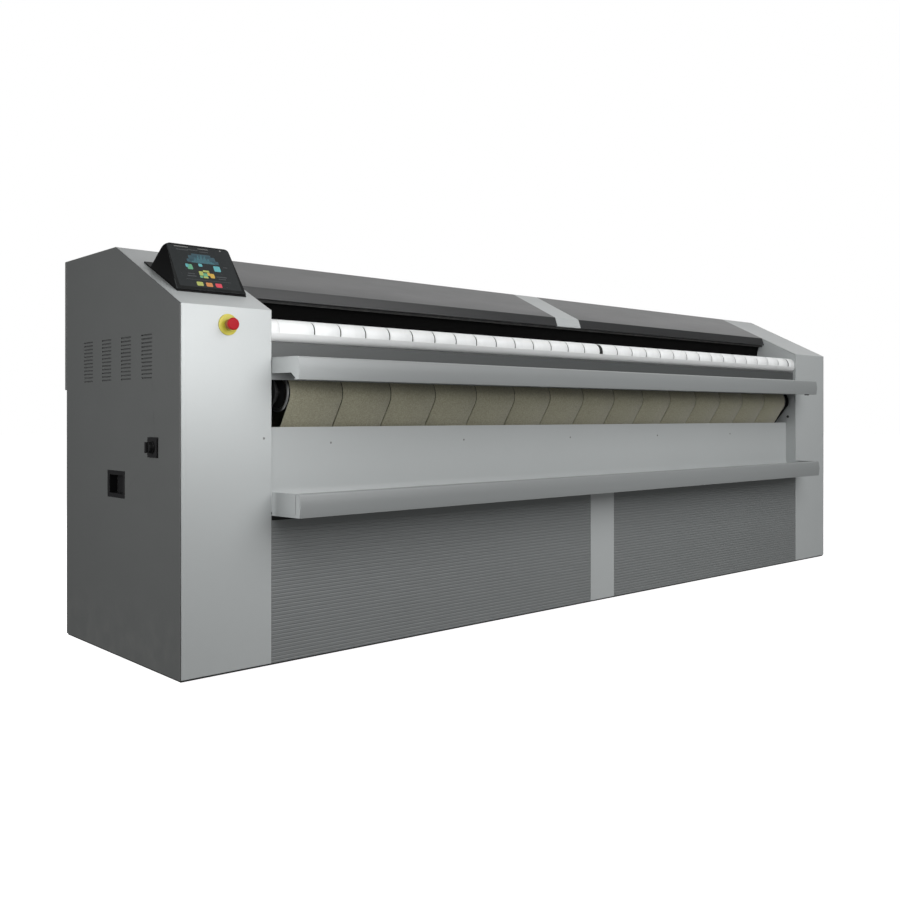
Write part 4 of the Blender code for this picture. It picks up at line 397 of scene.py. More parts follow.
def needle_felt(name, colour):
    """Needle felt: tangled fibres, fuzz, and tone that drifts from belt to belt and along each one."""
    surface = Surface(name)
    fibre_a = surface.noise(900.0, 3.0, 0.65, (1.0, 0.18, 0.18), 1.0)
    fibre_b = surface.noise(900.0, 3.0, 0.65, (0.2, 1.0, 1.0), 4.0)
    tuft = surface.noise(160.0, 4.0, 0.6, seed=2.0)
    drift = surface.noise(1.0, 2.0, 0.5, (4.4, 0.6, 0.6), 6.0)
    fibres = (fibre_a + fibre_b) * 0.5
    tone = surface.ramp(
        fibres * 0.6 + tuft * 0.4,
        [(0.30, tinted(colour, -0.45)), (0.5, colour), (0.70, tinted(colour, 0.55))],
    )
    tone = surface.mix(drift.step(0.35, 0.65) * 0.12, tone, tinted(colour, -0.22))
    lint = surface.noise(420.0, 1.0, 0.5, (1.0, 0.3, 0.3), 13.0).step(0.70, 0.76)
    tone = surface.mix(lint * 0.35, tone, (0.52, 0.51, 0.46))
    normal = surface.bump(tuft, 0.0006)
    normal = surface.bump(fibres, 0.0005, normal)
    return surface.close(tone, 0.88 + fibres * 0.1, normal, sheen_weight=0.25, sheen_roughness=0.5)


def coated_belt(name, colour):
    """Woven belting under a thin coat, faintly grey where linen has run over it."""
    surface = Surface(name)
    across, along, up = surface.split()
    weave = (across * 4200.0).sine() * (along * 4200.0 + up * 4200.0).sine()
    soil = surface.noise(6.0, 4.0, 0.6, (5.0, 0.6, 0.6), 2.0).step(0.42, 0.80)
    tone = surface.mix(soil * 0.30, colour, tinted(colour, -0.16))
    tone = surface.mix(weave.step(0.2, 1.0) * 0.10, tone, tinted(colour, -0.2))
    normal = surface.bump(weave, 0.00004)
    normal = surface.bump(surface.noise(300.0), 0.00004, normal)
    return surface.close(tone, 0.42 + soil * 0.15, normal)


def moulded_plastic(name, colour, roughness, grain=0.00003, shine=0.5):
    """Moulded plastic: fine spark-eroded grain and light scuffs."""
    surface = Surface(name)
    skin = surface.noise(1500.0, 2.0, 0.6)
    scuff = surface.noise(90.0, 4.0, 0.6, (0.3, 2.0, 2.0), 5.0).step(0.62, 0.80)
    tone = surface.mix(surface.noise(25.0, 3.0), tinted(colour, -0.08), tinted(colour, 0.08))
    tone = surface.mix(scuff * 0.18, tone, tinted(colour, 0.5))
    rough = roughness + scuff * 0.12 + skin * 0.05
    return surface.close(tone, rough, surface.bump(skin, grain), specular_ior_level=shine)


def satin_steel(name, colour):
    """Steel with satin black paint, thin enough to show the rolled skin below."""
    surface = Surface(name)
    skin = surface.noise(240.0, 3.0, 0.6)
    worn = surface.noise(45.0, 4.0, 0.65, seed=6.0).step(0.68, 0.80)
    tone = surface.mix(surface.noise(12.0, 4.0), tinted(colour, -0.15), tinted(colour, 0.35))
    tone = surface.mix(worn * 0.3, tone, (0.16, 0.16, 0.16))
    rough = 0.36 + surface.noise(30.0, 4.0, 0.6, seed=4.0) * 0.16
    return surface.close(tone, rough, surface.bump(skin, 0.00006), metallic=0.25)


def turned_steel(name, colour):
    """Bright steel turned about X: fine rings along the piece, with a few deeper scores."""
    surface = Surface(name)
    rings = surface.noise(1400.0, 3.0, 0.6, (1.0, 0.02, 0.02))
    score = surface.noise(120.0, 2.0, 0.5, (1.0, 0.02, 0.02), 5.0).step(0.62, 0.72)
    haze = surface.noise(9.0, 5.0, 0.65, seed=8.0)
    tone = surface.mix(haze, tinted(colour, -0.12), tinted(colour, 0.08))
    tone = surface.mix(score * 0.3, tone, tinted(colour, -0.4))
    rough = 0.20 + rings * 0.12 + haze * 0.10
    return surface.close(tone, rough, surface.bump(rings, 0.00001), metallic=1.0)


def zinc_steel(name, colour):
    """Hot-dip zinc: spangles of differing brightness and a dull bloom."""
    surface = Surface(name)
    spangle = surface.cells(75.0, "Color")
    grey = surface.node("ShaderNodeRGBToBW", sockets={0: spangle})
    bloom = surface.noise(18.0, 5.0, 0.65, seed=3.0)
    tone = surface.mix(grey, tinted(colour, -0.30), tinted(colour, 0.35))
    tone = surface.mix(bloom.step(0.45, 0.75) * 0.35, tone, (0.42, 0.43, 0.44))
    rough = 0.38 + grey * 0.14 + bloom * 0.12
    return surface.close(tone, rough, surface.bump(surface.cells(75.0), 0.00003), metallic=0.75)


def cast_iron(name, colour):
    """Sand-cast iron under machine paint: coarse skin and pits, oil film in places."""
    surface = Surface(name)
    sand = surface.noise(420.0, 4.0, 0.7)
    pits = surface.cells(260.0).step(0.18, 0.05)
    film = surface.noise(11.0, 4.0, 0.6, seed=5.0).step(0.48, 0.72)
    tone = surface.mix(sand, tinted(colour, -0.25), tinted(colour, 0.25))
    tone = surface.mix(pits * 0.4, tone, tinted(colour, -0.5))
    tone = surface.mix(film * 0.4, tone, (0.07, 0.06, 0.05))
    rough = 0.62 - film * 0.22
    normal = surface.bump(sand, 0.0004)
    normal = surface.bump(1 - pits, 0.0003, normal)
    return surface.close(tone, rough, normal, metallic=0.45)


def screen_glass(name, colour):
    """Black touch glass with finger marks and wiping haze."""
    surface = Surface(name)
    marks = surface.cells(38.0).step(0.42, 0.12) * surface.noise(9.0, 2.0, 0.5, seed=3.0).step(0.45, 0.60)
    wiped = surface.noise(14.0, 5.0, 0.6, (3.0, 0.5, 0.5), 6.0).step(0.45, 0.85)
    tone = surface.mix(wiped * 0.5, colour, tinted(colour, 1.2))
    rough = 0.05 + marks * 0.14 + wiped * 0.08
    normal = surface.bump(surface.noise(20.0), 0.00003)
    return surface.close(tone, rough, normal, coat_weight=0.5, coat_roughness=0.04)


def lit_marks(name, colour, glow):
    """Marks that the display lights up, with the grain of its pixels."""
    surface = Surface(name)
    pixel = surface.cells(1500.0, randomness=0.2)
    tone = surface.mix(pixel.step(0.25, 0.60) * 0.5, colour, tinted(colour, -0.6))
    rough = 0.20 + surface.noise(60.0) * 0.1
    return surface.close(
        tinted(colour, -0.5), rough, emission_color=tone, emission_strength=glow
    )


def clear_neck(name):
    """Smoky moulded plastic that lets some light through."""
    surface = Surface(name)
    swirl = surface.noise(160.0, 3.0, 0.6, seed=2.0)
    tone = surface.mix(swirl, (0.22, 0.08, 0.035), (0.36, 0.16, 0.08))
    rough = 0.18 + surface.noise(300.0) * 0.10
    return surface.close(tone, rough, surface.bump(swirl, 0.0001), transmission_weight=0.15, ior=1.49)


def rubber(name):
    """Black moulded rubber with bloom."""
    surface = Surface(name)
    bloom = surface.noise(40.0, 5.0, 0.65)
    tone = surface.mix(bloom.step(0.4, 0.8), (0.016, 0.016, 0.016), (0.045, 0.044, 0.042))
    return surface.close(tone, 0.6 + bloom * 0.2, surface.bump(surface.noise(900.0), 0.00008))


def filter_mat(name):
    """Grey filter fleece."""
    surface = Surface(name)
    fibre = surface.noise(700.0, 4.0, 0.7, (1.0, 0.3, 1.0))
    tone = surface.mix(fibre, (0.014, 0.014, 0.014), (0.045, 0.046, 0.046))
    return surface.close(tone, 0.9 + fibre * 0.1, surface.bump(fibre, 0.0006))


def make_finishes():
    """Every finish by the name of its slot in the record."""
    group = bpy.context.scene.ironer_finish
    made = {
        "light_grey_paint": powder_coat("light_grey_coat", tuple(group.light_paint), 0.40, 0.00007, 0.35),
        "dark_grey_paint": powder_coat("dark_grey_coat", tuple(group.dark_paint), 0.43, 0.00007, 0.50),
        "mid_grey_paint": powder_coat("hood_coat", tuple(group.hood_paint), 0.36, 0.00005, 0.40),
        "white_paint": gloss_paint("white_enamel", COLOURS["white_paint"]),
        "white_belt": coated_belt("feed_belting", tuple(group.feed_belt)),
        "olive_felt": needle_felt("ironing_felt", tuple(group.felt)),
        "black_plastic": moulded_plastic(
            "black_moulding", tinted(COLOURS["black_plastic"], -0.35), 0.40, shine=0.3
        ),
        "black_steel": satin_steel("black_satin_steel", COLOURS["black_steel"]),
        "screen_glass": screen_glass("display_glass", (0.020, 0.021, 0.021)),
        "yellow_plastic": moulded_plastic("yellow_moulding", tinted(COLOURS["yellow_plastic"], -0.28), 0.36),
        "red_plastic": moulded_plastic("red_moulding", (0.30, 0.006, 0.012), 0.5, shine=0.15),
        "bright_steel": turned_steel("turned_bright_steel", COLOURS["bright_steel"]),
        "frame_steel": zinc_steel("zinc_coated_steel", COLOURS["frame_steel"]),
        "cast_iron": cast_iron("painted_casting", COLOURS["cast_iron"]),
        # Light paint darkened for the lips: painted shade
        "shaded_lip_paint": powder_coat("shaded_lip_coat", tuple(group.shaded_lip_paint), 0.40, 0.00007, 0.30),
        "rib_paint": powder_coat("ribbed_coat", tuple(group.rib_paint), 0.45, 0.00007, 0.30),
        "guard_shade_black_paint": shade_black_guard_coat("shade_black_guard_coat", tuple(group.guard_shade_black_paint)),
        "strip_paint": powder_coat("strip_coat", (0.084, 0.089, 0.089), 0.43, 0.00007, 0.40),
        "console_plastic": moulded_plastic("console_moulding", (0.0016, 0.0016, 0.0018), 0.45, shine=0.12),
        # Tray coat: its lip is darker than its panel, as painted shade
        "tray_paint_shaded_lip": coat_with_shaded_lip("tray_coat_shaded_lip", tuple(group.shaded_lip_paint), tuple(group.light_paint)),
        "neck": clear_neck("smoky_neck"),
        "bare_ring": turned_steel("bright_ring", (0.72, 0.72, 0.71)),
        "screw_zinc": satin_steel("plated_screw", (0.22, 0.22, 0.22)),
        "buffer": rubber("black_rubber"),
        "mat": filter_mat("filter_fleece"),
    }
    for name, (colour, glow) in MARK_COLOURS.items():
        made[name] = lit_marks(f"display_{name}", colour, glow)
    return made


def finish_of(slot):
    """The finish of a slot, made the first time it is asked for."""
    if not FINISHES:
        FINISHES.update(make_finishes())
    return FINISHES[slot]


FINISHES = {}

# Nodes whose finish differs from the usual one of their slot
NODE_FINISHES = {
    # The table lip and the return tray's lip carry painted shade
    "feed_table_lip": "shaded_lip_paint",
    "return_tray": "tray_paint_shaded_lip",
    "feed_fascia": "strip_paint",
    "console_housing": "console_plastic",
    "feed_front_roll": "buffer",
    "front_panel_left": "rib_paint",
    "front_panel_right": "rib_paint",
    # The finger guard carries the near-black painted shade
    "finger_guard": "guard_shade_black_paint",
}

# Marks on the display: colour, and how strongly they are lit
MARK_COLOURS = {
    "field": ((0.030, 0.033, 0.034), 0.7),
    "mist": ((0.055, 0.098, 0.120), 0.7),
    "haze": ((0.080, 0.190, 0.220), 0.7),
    "teal": ((0.130, 0.390, 0.420), 0.7),
    "leaf": ((0.130, 0.350, 0.210), 0.7),
    "amber": ((0.560, 0.360, 0.080), 0.7),
    "lemon": ((0.380, 0.420, 0.130), 0.7),
    "orange": ((0.560, 0.230, 0.090), 0.7),
    "red": ((0.620, 0.075, 0.105), 0.7),
    "pale": ((0.240, 0.240, 0.235), 0.5),
    "dim": ((0.090, 0.095, 0.100), 0.5),
}


# Mesh helpers


def add_piece(name, shape, slot, body, replaces=(), finish=None, crease=30.0):
    """Turns a bmesh into a named piece that rides on a body. Edges sharper than crease stay sharp."""
    bmesh.ops.recalc_face_normals(shape, faces=shape.faces)
    mesh = bpy.data.meshes.new(name)
    shape.to_mesh(mesh)
    shape.free()
    mesh.materials.append(finish_of(finish or slot))
    mesh.shade_smooth()
    mesh.set_sharp_from_angle(angle=math.radians(crease))
    piece = bpy.data.objects.new(name, mesh)
    bpy.context.scene.collection.objects.link(piece)
    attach(piece, body)
    if replaces:
        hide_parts(*replaces)
    return piece


def loft(shape, loops, closed=False):
    """Faces between loops that hold the same number of points."""
    rings = [[shape.verts.new(point) for point in loop] for loop in loops]
    count = len(rings[0])
    pairs = list(zip(rings, rings[1:]))
    if closed:
        pairs.append((rings[-1], rings[0]))
    for here, there in pairs:
        for index in range(count):
            following = (index + 1) % count
            shape.faces.new((here[index], here[following], there[following], there[index]))
    if not closed:
        shape.faces.new(list(reversed(rings[0])))
        shape.faces.new(rings[-1])


def circle(centre, radius, sides, axis):
    """Points of a circle about an axis through centre."""
    points = []
    for step in range(sides):
        angle = 2 * math.pi * step / sides
        a, b = radius * math.cos(angle), radius * math.sin(angle)
        offset = {"X": (0, a, b), "Y": (a, 0, -b), "Z": (a, b, 0)}[axis]
        points.append(Vector(centre) + Vector(offset))
    return points


def turned(shape, profile, centre, axis="Y", sides=64, closed=False):
    """A turned form. Each pair in profile is the place along the axis from centre, and the radius."""
    along = Vector({"X": (1, 0, 0), "Y": (0, 1, 0), "Z": (0, 0, 1)}[axis])
    loops = [circle(Vector(centre) + along * place, radius, sides, axis) for place, radius in profile]
    loft(shape, loops, closed)


def rounded_loop(half_width, half_height, radius, steps=6):
    """Points of a rectangle with round corners, about the origin."""
    points = []
    for quarter, (side, up) in enumerate(((1, 1), (-1, 1), (-1, -1), (1, -1))):
        centre = Vector((side * (half_width - radius), up * (half_height - radius)))
        for step in range(steps + 1):
            angle = math.radians(90 * quarter + 90 * step / steps)
            points.append(centre + Vector((math.cos(angle), math.sin(angle))) * radius)
    return points


def loop_path(wheels, offset, step_degrees=5.0):
    """The middle line of a belt round wheels given as (centre, radius, turn).

    turn is 1 where the belt runs round the wheel counter-clockwise seen along +X and -1 where it runs
    clockwise.
    """
    leave = []
    for index, (centre_a, radius_a, turn_a) in enumerate(wheels):
        centre_b, radius_b, turn_b = wheels[(index + 1) % len(wheels)]
        between = centre_b - centre_a
        reach = turn_a * (radius_a + offset) - turn_b * (radius_b + offset)
        leave.append(math.atan2(between.y, between.x) - math.pi / 2 + math.asin(reach / between.length))
    points = []
    for index, (centre, radius, turn) in enumerate(wheels):
        sweep = (leave[index] - leave[index - 1]) * turn % (2 * math.pi)
        steps = max(1, math.ceil(math.degrees(sweep) / step_degrees))
        for step in range(steps + 1):
            angle = leave[index - 1] + turn * sweep * step / steps
            away = Vector((math.cos(angle), math.sin(angle)))
            points.append(centre + away * turn * (radius + offset))
    return points


def outward(points):
    """The direction away from the inside at each point of a closed path."""
    normals = []
    for index in range(len(points)):
        along = (points[(index + 1) % len(points)] - points[index - 1]).normalized()
        normals.append(Vector((along.y, -along.x)))
    return normals


def belt(shape, path, start, end, thickness, edge):
    """An endless belt with softened edges, from x = start to x = end."""
    half = thickness / 2
    section = [
        (start + edge, half), (end - edge, half), (end, half - edge), (end, edge - half),
        (end - edge, -half), (start + edge, -half), (start, edge - half), (start, half - edge),
    ]
    loops = []
    for point, normal in zip(path, outward(path)):
        loop = []
        for x, reach in section:
            y, z = point + normal * reach
            loop.append((x, y, z))
        loops.append(loop)
    loft(shape, loops, closed=True)


# Pieces

# Flat sheets with many holes, whose faces keep one normal each
FLAT_NODES = ("left_side_cover",)

# Widths of the softened edges: the usual one, and those that differ from it
EDGE = 0.0010
EDGES = {
    "left_front_cover": 0.0016,
    "right_front_cover": 0.0016,
    "hood_left": 0.0016,
    "hood_right": 0.0016,
    "hood_centre_strip": 0.0016,
    "cylinder_sprocket": 0.0004,
    "motor_sprocket": 0.0004,
    "fan_impeller": 0.0004,
    "drive_chain": 0.0006,
    "levelling_foot_left_front": 0.0006,
    "emergency_stop_stem": 0.0004,
    "console_screen": 0.0006,
    "feed_nose_guard": 0.0005,
}
EDGE_SEGMENTS = 2
EDGE_ANGLE = 28.0
WELD_DISTANCE = 0.00001


def coat_node(name, piece, slot, edge):
    """Puts a finish on a frame node and softens its edges with modifiers."""
    mesh = piece.data
    mesh.materials.clear()
    mesh.materials.append(finish_of(slot))
    if "custom_normal" in mesh.attributes:
        mesh.attributes.remove(mesh.attributes["custom_normal"])
    if name in FLAT_NODES:
        mesh.shade_flat()
    else:
        mesh.shade_smooth()
    weld = piece.modifiers.new("weld", "WELD")
    weld.merge_threshold = WELD_DISTANCE
    soft = piece.modifiers.new("soft_edges", "BEVEL")
    soft.width = edge
    soft.segments = EDGE_SEGMENTS
    soft.limit_method = "ANGLE"
    soft.angle_limit = math.radians(EDGE_ANGLE)
    soft.harden_normals = name not in FLAT_NODES
    soft.miter_outer = "MITER_ARC"


def coat_frame():
    """Gives every frame node its finish and soft edges."""
    for name, node in frame["nodes"].items():
        slot = node.data.materials[0].name.split(".")[0]
        coat_node(name, node, NODE_FINISHES.get(name, slot), EDGES.get(name, EDGE))


def build_felt_belts():
    """The felt belts round the rolls and the cylinder, each one on its own."""
    group = bpy.context.scene.ironer_belts
    wheels = [
        (axis_at("front_roll_spin"), FRONT_ROLL_RADIUS, 1),
        (axis_at("lower_roll_spin"), LOWER_ROLL_RADIUS, 1),
        (axis_at("rear_lower_roll_spin"), REAR_ROLL_RADIUS, 1),
        (axis_at("rear_upper_roll_spin"), REAR_ROLL_RADIUS, 1),
        (axis_at("entry_roll_spin"), ENTRY_ROLL_RADIUS, 1),
        (axis_at("cylinder_spin"), CYLINDER_RADIUS, -1),
    ]
    path = loop_path(wheels, group.felt_thickness / 2 + BELT_CLEARANCE)
    low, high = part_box("ironing_belts")
    pitch = (high.x - low.x) / group.felt_count
    shape = bmesh.new()
    for index in range(group.felt_count):
        start = low.x + pitch * index + (group.felt_gap / 2 if index else 0)
        end = low.x + pitch * (index + 1) - (group.felt_gap / 2 if index < group.felt_count - 1 else 0)
        belt(shape, path, start, end, group.felt_thickness, FELT_EDGE)
    add_piece("felt_belts", shape, "olive_felt", "machine", ["ironing_belts"], crease=BELT_CREASE)


def cabinet_face():
    """The y place of the cabinets' front face."""
    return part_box("left_front_cover")[0].y


def feed_path(thickness):
    """The middle line of a belt round the two feed rolls."""
    wheels = [
        (axis_at("feed_front_roll_spin"), FEED_FRONT_RADIUS, 1),
        (axis_at("feed_rear_roll_spin"), FEED_REAR_RADIUS, 1),
    ]
    return loop_path(wheels, thickness / 2 + BELT_CLEARANCE)


def build_feed_belts():
    """The coated belts of the feed table with their edge strips."""
    group = bpy.context.scene.ironer_belts
    path = feed_path(group.feed_thickness)
    for node, outer in (("feed_belts_left", -1), ("feed_belts_right", 1)):
        low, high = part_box(node)
        start = low.x + (group.feed_edge + group.feed_gap if outer < 0 else 0)
        end = high.x - (group.feed_edge + group.feed_gap if outer > 0 else 0)
        pitch = (end - start) / group.feed_count
        spans = []
        for index in range(group.feed_count):
            left = start + pitch * index
            spans.append((left, left + pitch - group.feed_gap))
        if outer < 0:
            spans[0] = (low.x, spans[0][1])
            spans[-1] = (spans[-1][0], spans[-1][1] - group.middle_gap)
        else:
            spans = [(left + group.feed_gap, right + group.feed_gap) for left, right in spans]
            spans[0] = (spans[0][0] + group.middle_gap, spans[0][1])
            spans[-1] = (spans[-1][0], high.x - group.feed_edge - group.feed_end_gap)
            spans.append((high.x - group.feed_edge, high.x))
        shape = bmesh.new()
        for left, right in spans:
            belt(shape, path, left, right, group.feed_thickness, FEED_BELT_EDGE)
        add_piece(node + "_strips", shape, "white_belt", "machine", [node], crease=BELT_CREASE)


# End sleeves: what they leave free at the nose guard's ends and at the feed belts
SLEEVE_END_GAP = 0.0002
SLEEVE_BELT_GAP = 0.0010


def build_end_sleeves():
    """White sleeves between the feed belts and the cabinets."""
    thickness = bpy.context.scene.ironer_belts.feed_thickness
    path = feed_path(thickness)
    guard_low, guard_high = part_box("feed_nose_guard")
    left_low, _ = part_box("feed_belts_left")
    _, right_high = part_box("feed_belts_right")
    shape = bmesh.new()
    for start, end in (
        (guard_low.x + SLEEVE_END_GAP, left_low.x - SLEEVE_BELT_GAP),
        (right_high.x + SLEEVE_BELT_GAP, guard_high.x - SLEEVE_END_GAP),
    ):
        belt(shape, path, start, end, thickness, FEED_BELT_EDGE)
    add_piece("feed_end_sleeves", shape, "white_paint", "machine", crease=BELT_CREASE)


# Rims: how far the disc's face is beyond the felt, how far they reach past the roll, and their
# section as the place before the disc's face and the depth inside their outer radius
RIM_DISC = 0.0063
RIM_REACH = 0.003
RIM_SECTION = [
    (0.0005, 0.0150), (0.0040, 0.0140), (0.0060, 0.0100), (0.0060, 0.0040), (0.0040, 0.0010), (0.0005, 0.0),
]


def build_roll_rims():
    """Bright rims on the end discs of the front roll."""
    y, z = axis_at("front_roll_spin")
    low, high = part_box("ironing_belts")
    radius = FRONT_ROLL_RADIUS + RIM_REACH
    shape = bmesh.new()
    for disc, side in ((low.x - RIM_DISC, -1), (high.x + RIM_DISC, 1)):
        profile = [(side * along, radius - depth) for along, depth in RIM_SECTION]
        turned(shape, profile, (disc, y, z), "X", 96, closed=True)
    add_piece("front_roll_rims", shape, "bright_steel", "front_roll", finish="bare_ring")


# Flange behind the lip: place behind the cabinets' face, half thickness and corner of its section,
# what it leaves free above and below, how far its middle is below the lip's, and its end gap
FLANGE_DEPTH = 0.012
FLANGE_HALF_THICKNESS = 0.0012
FLANGE_CORNER = 0.0008
FLANGE_MARGIN = 0.005
FLANGE_DROP = 0.003
FLANGE_END_GAP = 0.0010


def build_lip_flange():
    """The upright flange behind the table lip, seen through its notched ends."""
    low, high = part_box("feed_table_lip")
    front = cabinet_face() + FLANGE_DEPTH
    middle = (low.z + high.z) / 2 - FLANGE_DROP
    half_height = (high.z - low.z) / 2 - FLANGE_MARGIN
    section = rounded_loop(FLANGE_HALF_THICKNESS, half_height, FLANGE_CORNER, 2)
    shape = bmesh.new()
    ends = (low.x + FLANGE_END_GAP, high.x - FLANGE_END_GAP)
    loft(shape, [[(x, front + point.x, middle + point.y) for point in section] for x in ends])
    # The flange takes the lips' darker paint: painted shade
    add_piece("table_lip_flange", shape, "light_grey_paint", "machine", finish="shaded_lip_paint")


def screen_plane():
    """The outer face of the display: foot of its middle line, way up, normal, length, half width."""
    points = [vertex.co for vertex in frame["nodes"]["console_screen"].data.vertices]
    low = min(points, key=lambda point: point.y)
    high = max(points, key=lambda point: point.z)
    middle = (min(point.x for point in points) + max(point.x for point in points)) / 2
    foot = Vector((middle, low.y, low.z))
    slant = Vector((middle, high.y, high.z)) - foot
    up = slant.normalized()
    normal = Vector((0, -up.z, up.y))
    return foot, up, normal, slant.length, abs(low.x - middle)


# How much the display's half width shrinks on the way up, and how its marks lie on the glass
SCREEN_NARROWING = 0.012
MARK_FOOT = 0.00005
MARK_TOP = 0.0005
MARK_LIFTS = {"field": 0.00015, "mist": 0.0003}

# Marks on the display as shares of its half width and of its height: u, v, width, height
MARKS = {
    "field": [(0.0, 0.515, 1.80, 0.900)],
    "mist": [(0.0, 0.700, 0.78, 0.120), (0.0, 0.645, 0.92, 0.070), (0.0, 0.770, 0.56, 0.070)],
    "pale": [(-0.56, 0.940, 0.40, 0.016), (0.13, 0.930, 0.30, 0.014), (0.70, 0.940, 0.05, 0.028)],
    "dim": [
        (-0.56, 0.870, 0.34, 0.014), (0.13, 0.865, 0.26, 0.014), (-0.475, 0.300, 0.26, 0.020),
        (0.425, 0.330, 0.30, 0.020), (-0.475, 0.350, 0.20, 0.014), (0.425, 0.285, 0.22, 0.014),
        (-0.22, 0.885, 0.30, 0.014), (0.0, 0.225, 1.30, 0.005), (0.66, 0.560, 0.12, 0.014),
    ],
    "haze": [],
    "teal": [(0.377, 0.510, 0.19, 0.120), (-0.117, 0.560, 0.11, 0.065), (-0.530, 0.525, 0.09, 0.070)],
    "leaf": [(-0.455, 0.500, 0.15, 0.110), (-0.050, 0.350, 0.13, 0.070), (-0.190, 0.300, 0.08, 0.045)],
    "lemon": [
        (-0.170, 0.375, 0.12, 0.090), (0.000, 0.430, 0.18, 0.040), (-0.060, 0.295, 0.14, 0.035),
        (-0.301, 0.140, 0.185, 0.085),
    ],
    "amber": [(0.150, 0.340, 0.13, 0.095), (0.055, 0.370, 0.08, 0.065)],
    "orange": [(-0.028, 0.138, 0.185, 0.085)],
    "red": [(0.249, 0.137, 0.185, 0.085)],
}
WAVE_BARS = 21
WAVE_SPAN = (-0.36, 0.35)
WAVE_FOOT = 0.605
WAVE_RISE = 0.180
WAVE_LEAST = 0.012
WAVE_SWING = 0.28
WAVE_TURN = 2.1
WAVE_WIDTH_SHARE = 0.55

# Corner of a mark as a share of its half width, and the most that it may be
MARK_CORNER_SHARE = 0.45
MARK_CORNER_MOST = 0.003


def wave_marks():
    """The bars of the display's graph, highest in the middle."""
    start, end = WAVE_SPAN
    pitch = (end - start) / (WAVE_BARS - 1)
    marks = []
    for index in range(WAVE_BARS):
        share = index / (WAVE_BARS - 1)
        swing = 1 - WAVE_SWING + WAVE_SWING * math.sin(index * WAVE_TURN)
        height = WAVE_LEAST + WAVE_RISE * math.sin(math.pi * share) * swing
        marks.append((start + pitch * index, WAVE_FOOT + height / 2, pitch * WAVE_WIDTH_SHARE, height))
    return marks


def build_display():
    """The lit marks of the display, each a thin plate on its glass."""
    foot, up, normal, length, half_low = screen_plane()
    for name, marks in MARKS.items():
        top = MARK_LIFTS.get(name, MARK_TOP)
        shape = bmesh.new()
        for u, v, width, height in marks + (wave_marks() if name == "haze" else []):
            half = half_low - SCREEN_NARROWING * v
            centre = foot + Vector((u * half, 0, 0)) + up * (v * length)
            half_width = width * half_low / 2
            half_height = height * length / 2
            corner = min(min(half_width, half_height) * MARK_CORNER_SHARE, MARK_CORNER_MOST)
            outline = rounded_loop(half_width, half_height, corner, 3)
            flat = [centre + Vector((point.x, 0, 0)) + up * point.y for point in outline]
            loft(shape, [[point + normal * lift for point in flat] for lift in (MARK_FOOT, top)])
        add_piece(f"display_{name}", shape, "screen_glass", "machine", finish=name)


def rounded_profile(start, end, radius, corner, steps=5):
    """Profile points of a turned edge: along at a radius up to start, then round towards end."""
    turn = 1 if end > start else -1
    points = []
    for step in range(steps + 1):
        angle = math.radians(90 * step / steps)
        along = end - turn * corner * (1 - math.sin(angle))
        points.append((along, radius - corner * (1 - math.cos(angle))))
    return points


# Emergency stop: radii, and places along its axis from the cabinet's face, of which those before the
# face are negative
STOP_SEAT = -0.0003
STOP_BORE = 0.0085
STOP_SHANK = 0.0110
STOP_DISC_RADIUS = 0.0350
STOP_DISC_FACE = -0.0043
STOP_DISC_CORNER = 0.0015
STOP_BARREL_RADIUS = 0.0145
STOP_BARREL_STEP = 0.0005
STOP_BARREL_FACE = -0.0143
STOP_BARREL_CORNER = 0.0008
STOP_SKIRT = [(-0.0138, 0.0045), (-0.0236, 0.0045), (-0.0236, 0.0162), (-0.0240, 0.0166), (-0.0300, 0.0192)]
STOP_CAP_RADIUS = 0.0205
STOP_CAP_SPAN = (-0.0300, -0.0412)
STOP_CAP_CORNER = 0.0050
STOP_CROWN = [(-0.0414, 0.0100), (-0.0416, 0.0040)]
STOP_NECK = [(-0.0235, 0.0152), (-0.0235, 0.0166), (-0.0170, 0.0168), (-0.0112, 0.0172), (-0.0110, 0.0155)]


def build_emergency_stop():
    """Disc with shank and barrel, the twisting head and its smoky neck ring."""
    low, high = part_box("emergency_stop_base")
    face = cabinet_face()
    place = ((low.x + high.x) / 2, face, (low.z + high.z) / 2)
    back = high.y - face
    step = STOP_DISC_FACE - STOP_BARREL_STEP
    disc = [(back, STOP_BORE), (back, STOP_SHANK), (STOP_SEAT, STOP_SHANK), (STOP_SEAT, STOP_DISC_RADIUS)]
    disc += rounded_profile(STOP_SEAT, STOP_DISC_FACE, STOP_DISC_RADIUS, STOP_DISC_CORNER)
    disc += [(STOP_DISC_FACE, STOP_BARREL_RADIUS + STOP_BARREL_STEP), (step, STOP_BARREL_RADIUS)]
    disc += rounded_profile(step, STOP_BARREL_FACE, STOP_BARREL_RADIUS, STOP_BARREL_CORNER)
    disc.append((STOP_BARREL_FACE, STOP_BORE))
    cap = STOP_SKIRT + rounded_profile(*STOP_CAP_SPAN, STOP_CAP_RADIUS, STOP_CAP_CORNER) + STOP_CROWN
    base, head = "emergency_stop_base", "emergency_stop_head"
    for name, profile, closed, slot, body, replaces, finish in (
        ("emergency_stop_disc", disc, True, "yellow_plastic", "machine", [base], None),
        ("emergency_stop_cap", cap, False, "red_plastic", head, [head], None),
        ("emergency_stop_neck", STOP_NECK, True, "red_plastic", head, (), "neck"),
    ):
        shape = bmesh.new()
        turned(shape, profile, place, "Y", 64, closed)
        add_piece(name, shape, slot, body, replaces, finish)


# Columns of vents in the left side cover, and the mats behind them
VENT_COLUMNS = 4
VENT_FIRST = 0.239
VENT_COLUMN_PITCH = 0.162
VENT_COLUMN_LENGTH = 0.0795
VENT_COLUMN_HEIGHT = 0.148
VENT_MIDDLE = 1.050
MAT_MARGIN = 0.008
MAT_CORNER = 0.004
MAT_GAP = 0.0004
MAT_THICKNESS = 0.0030


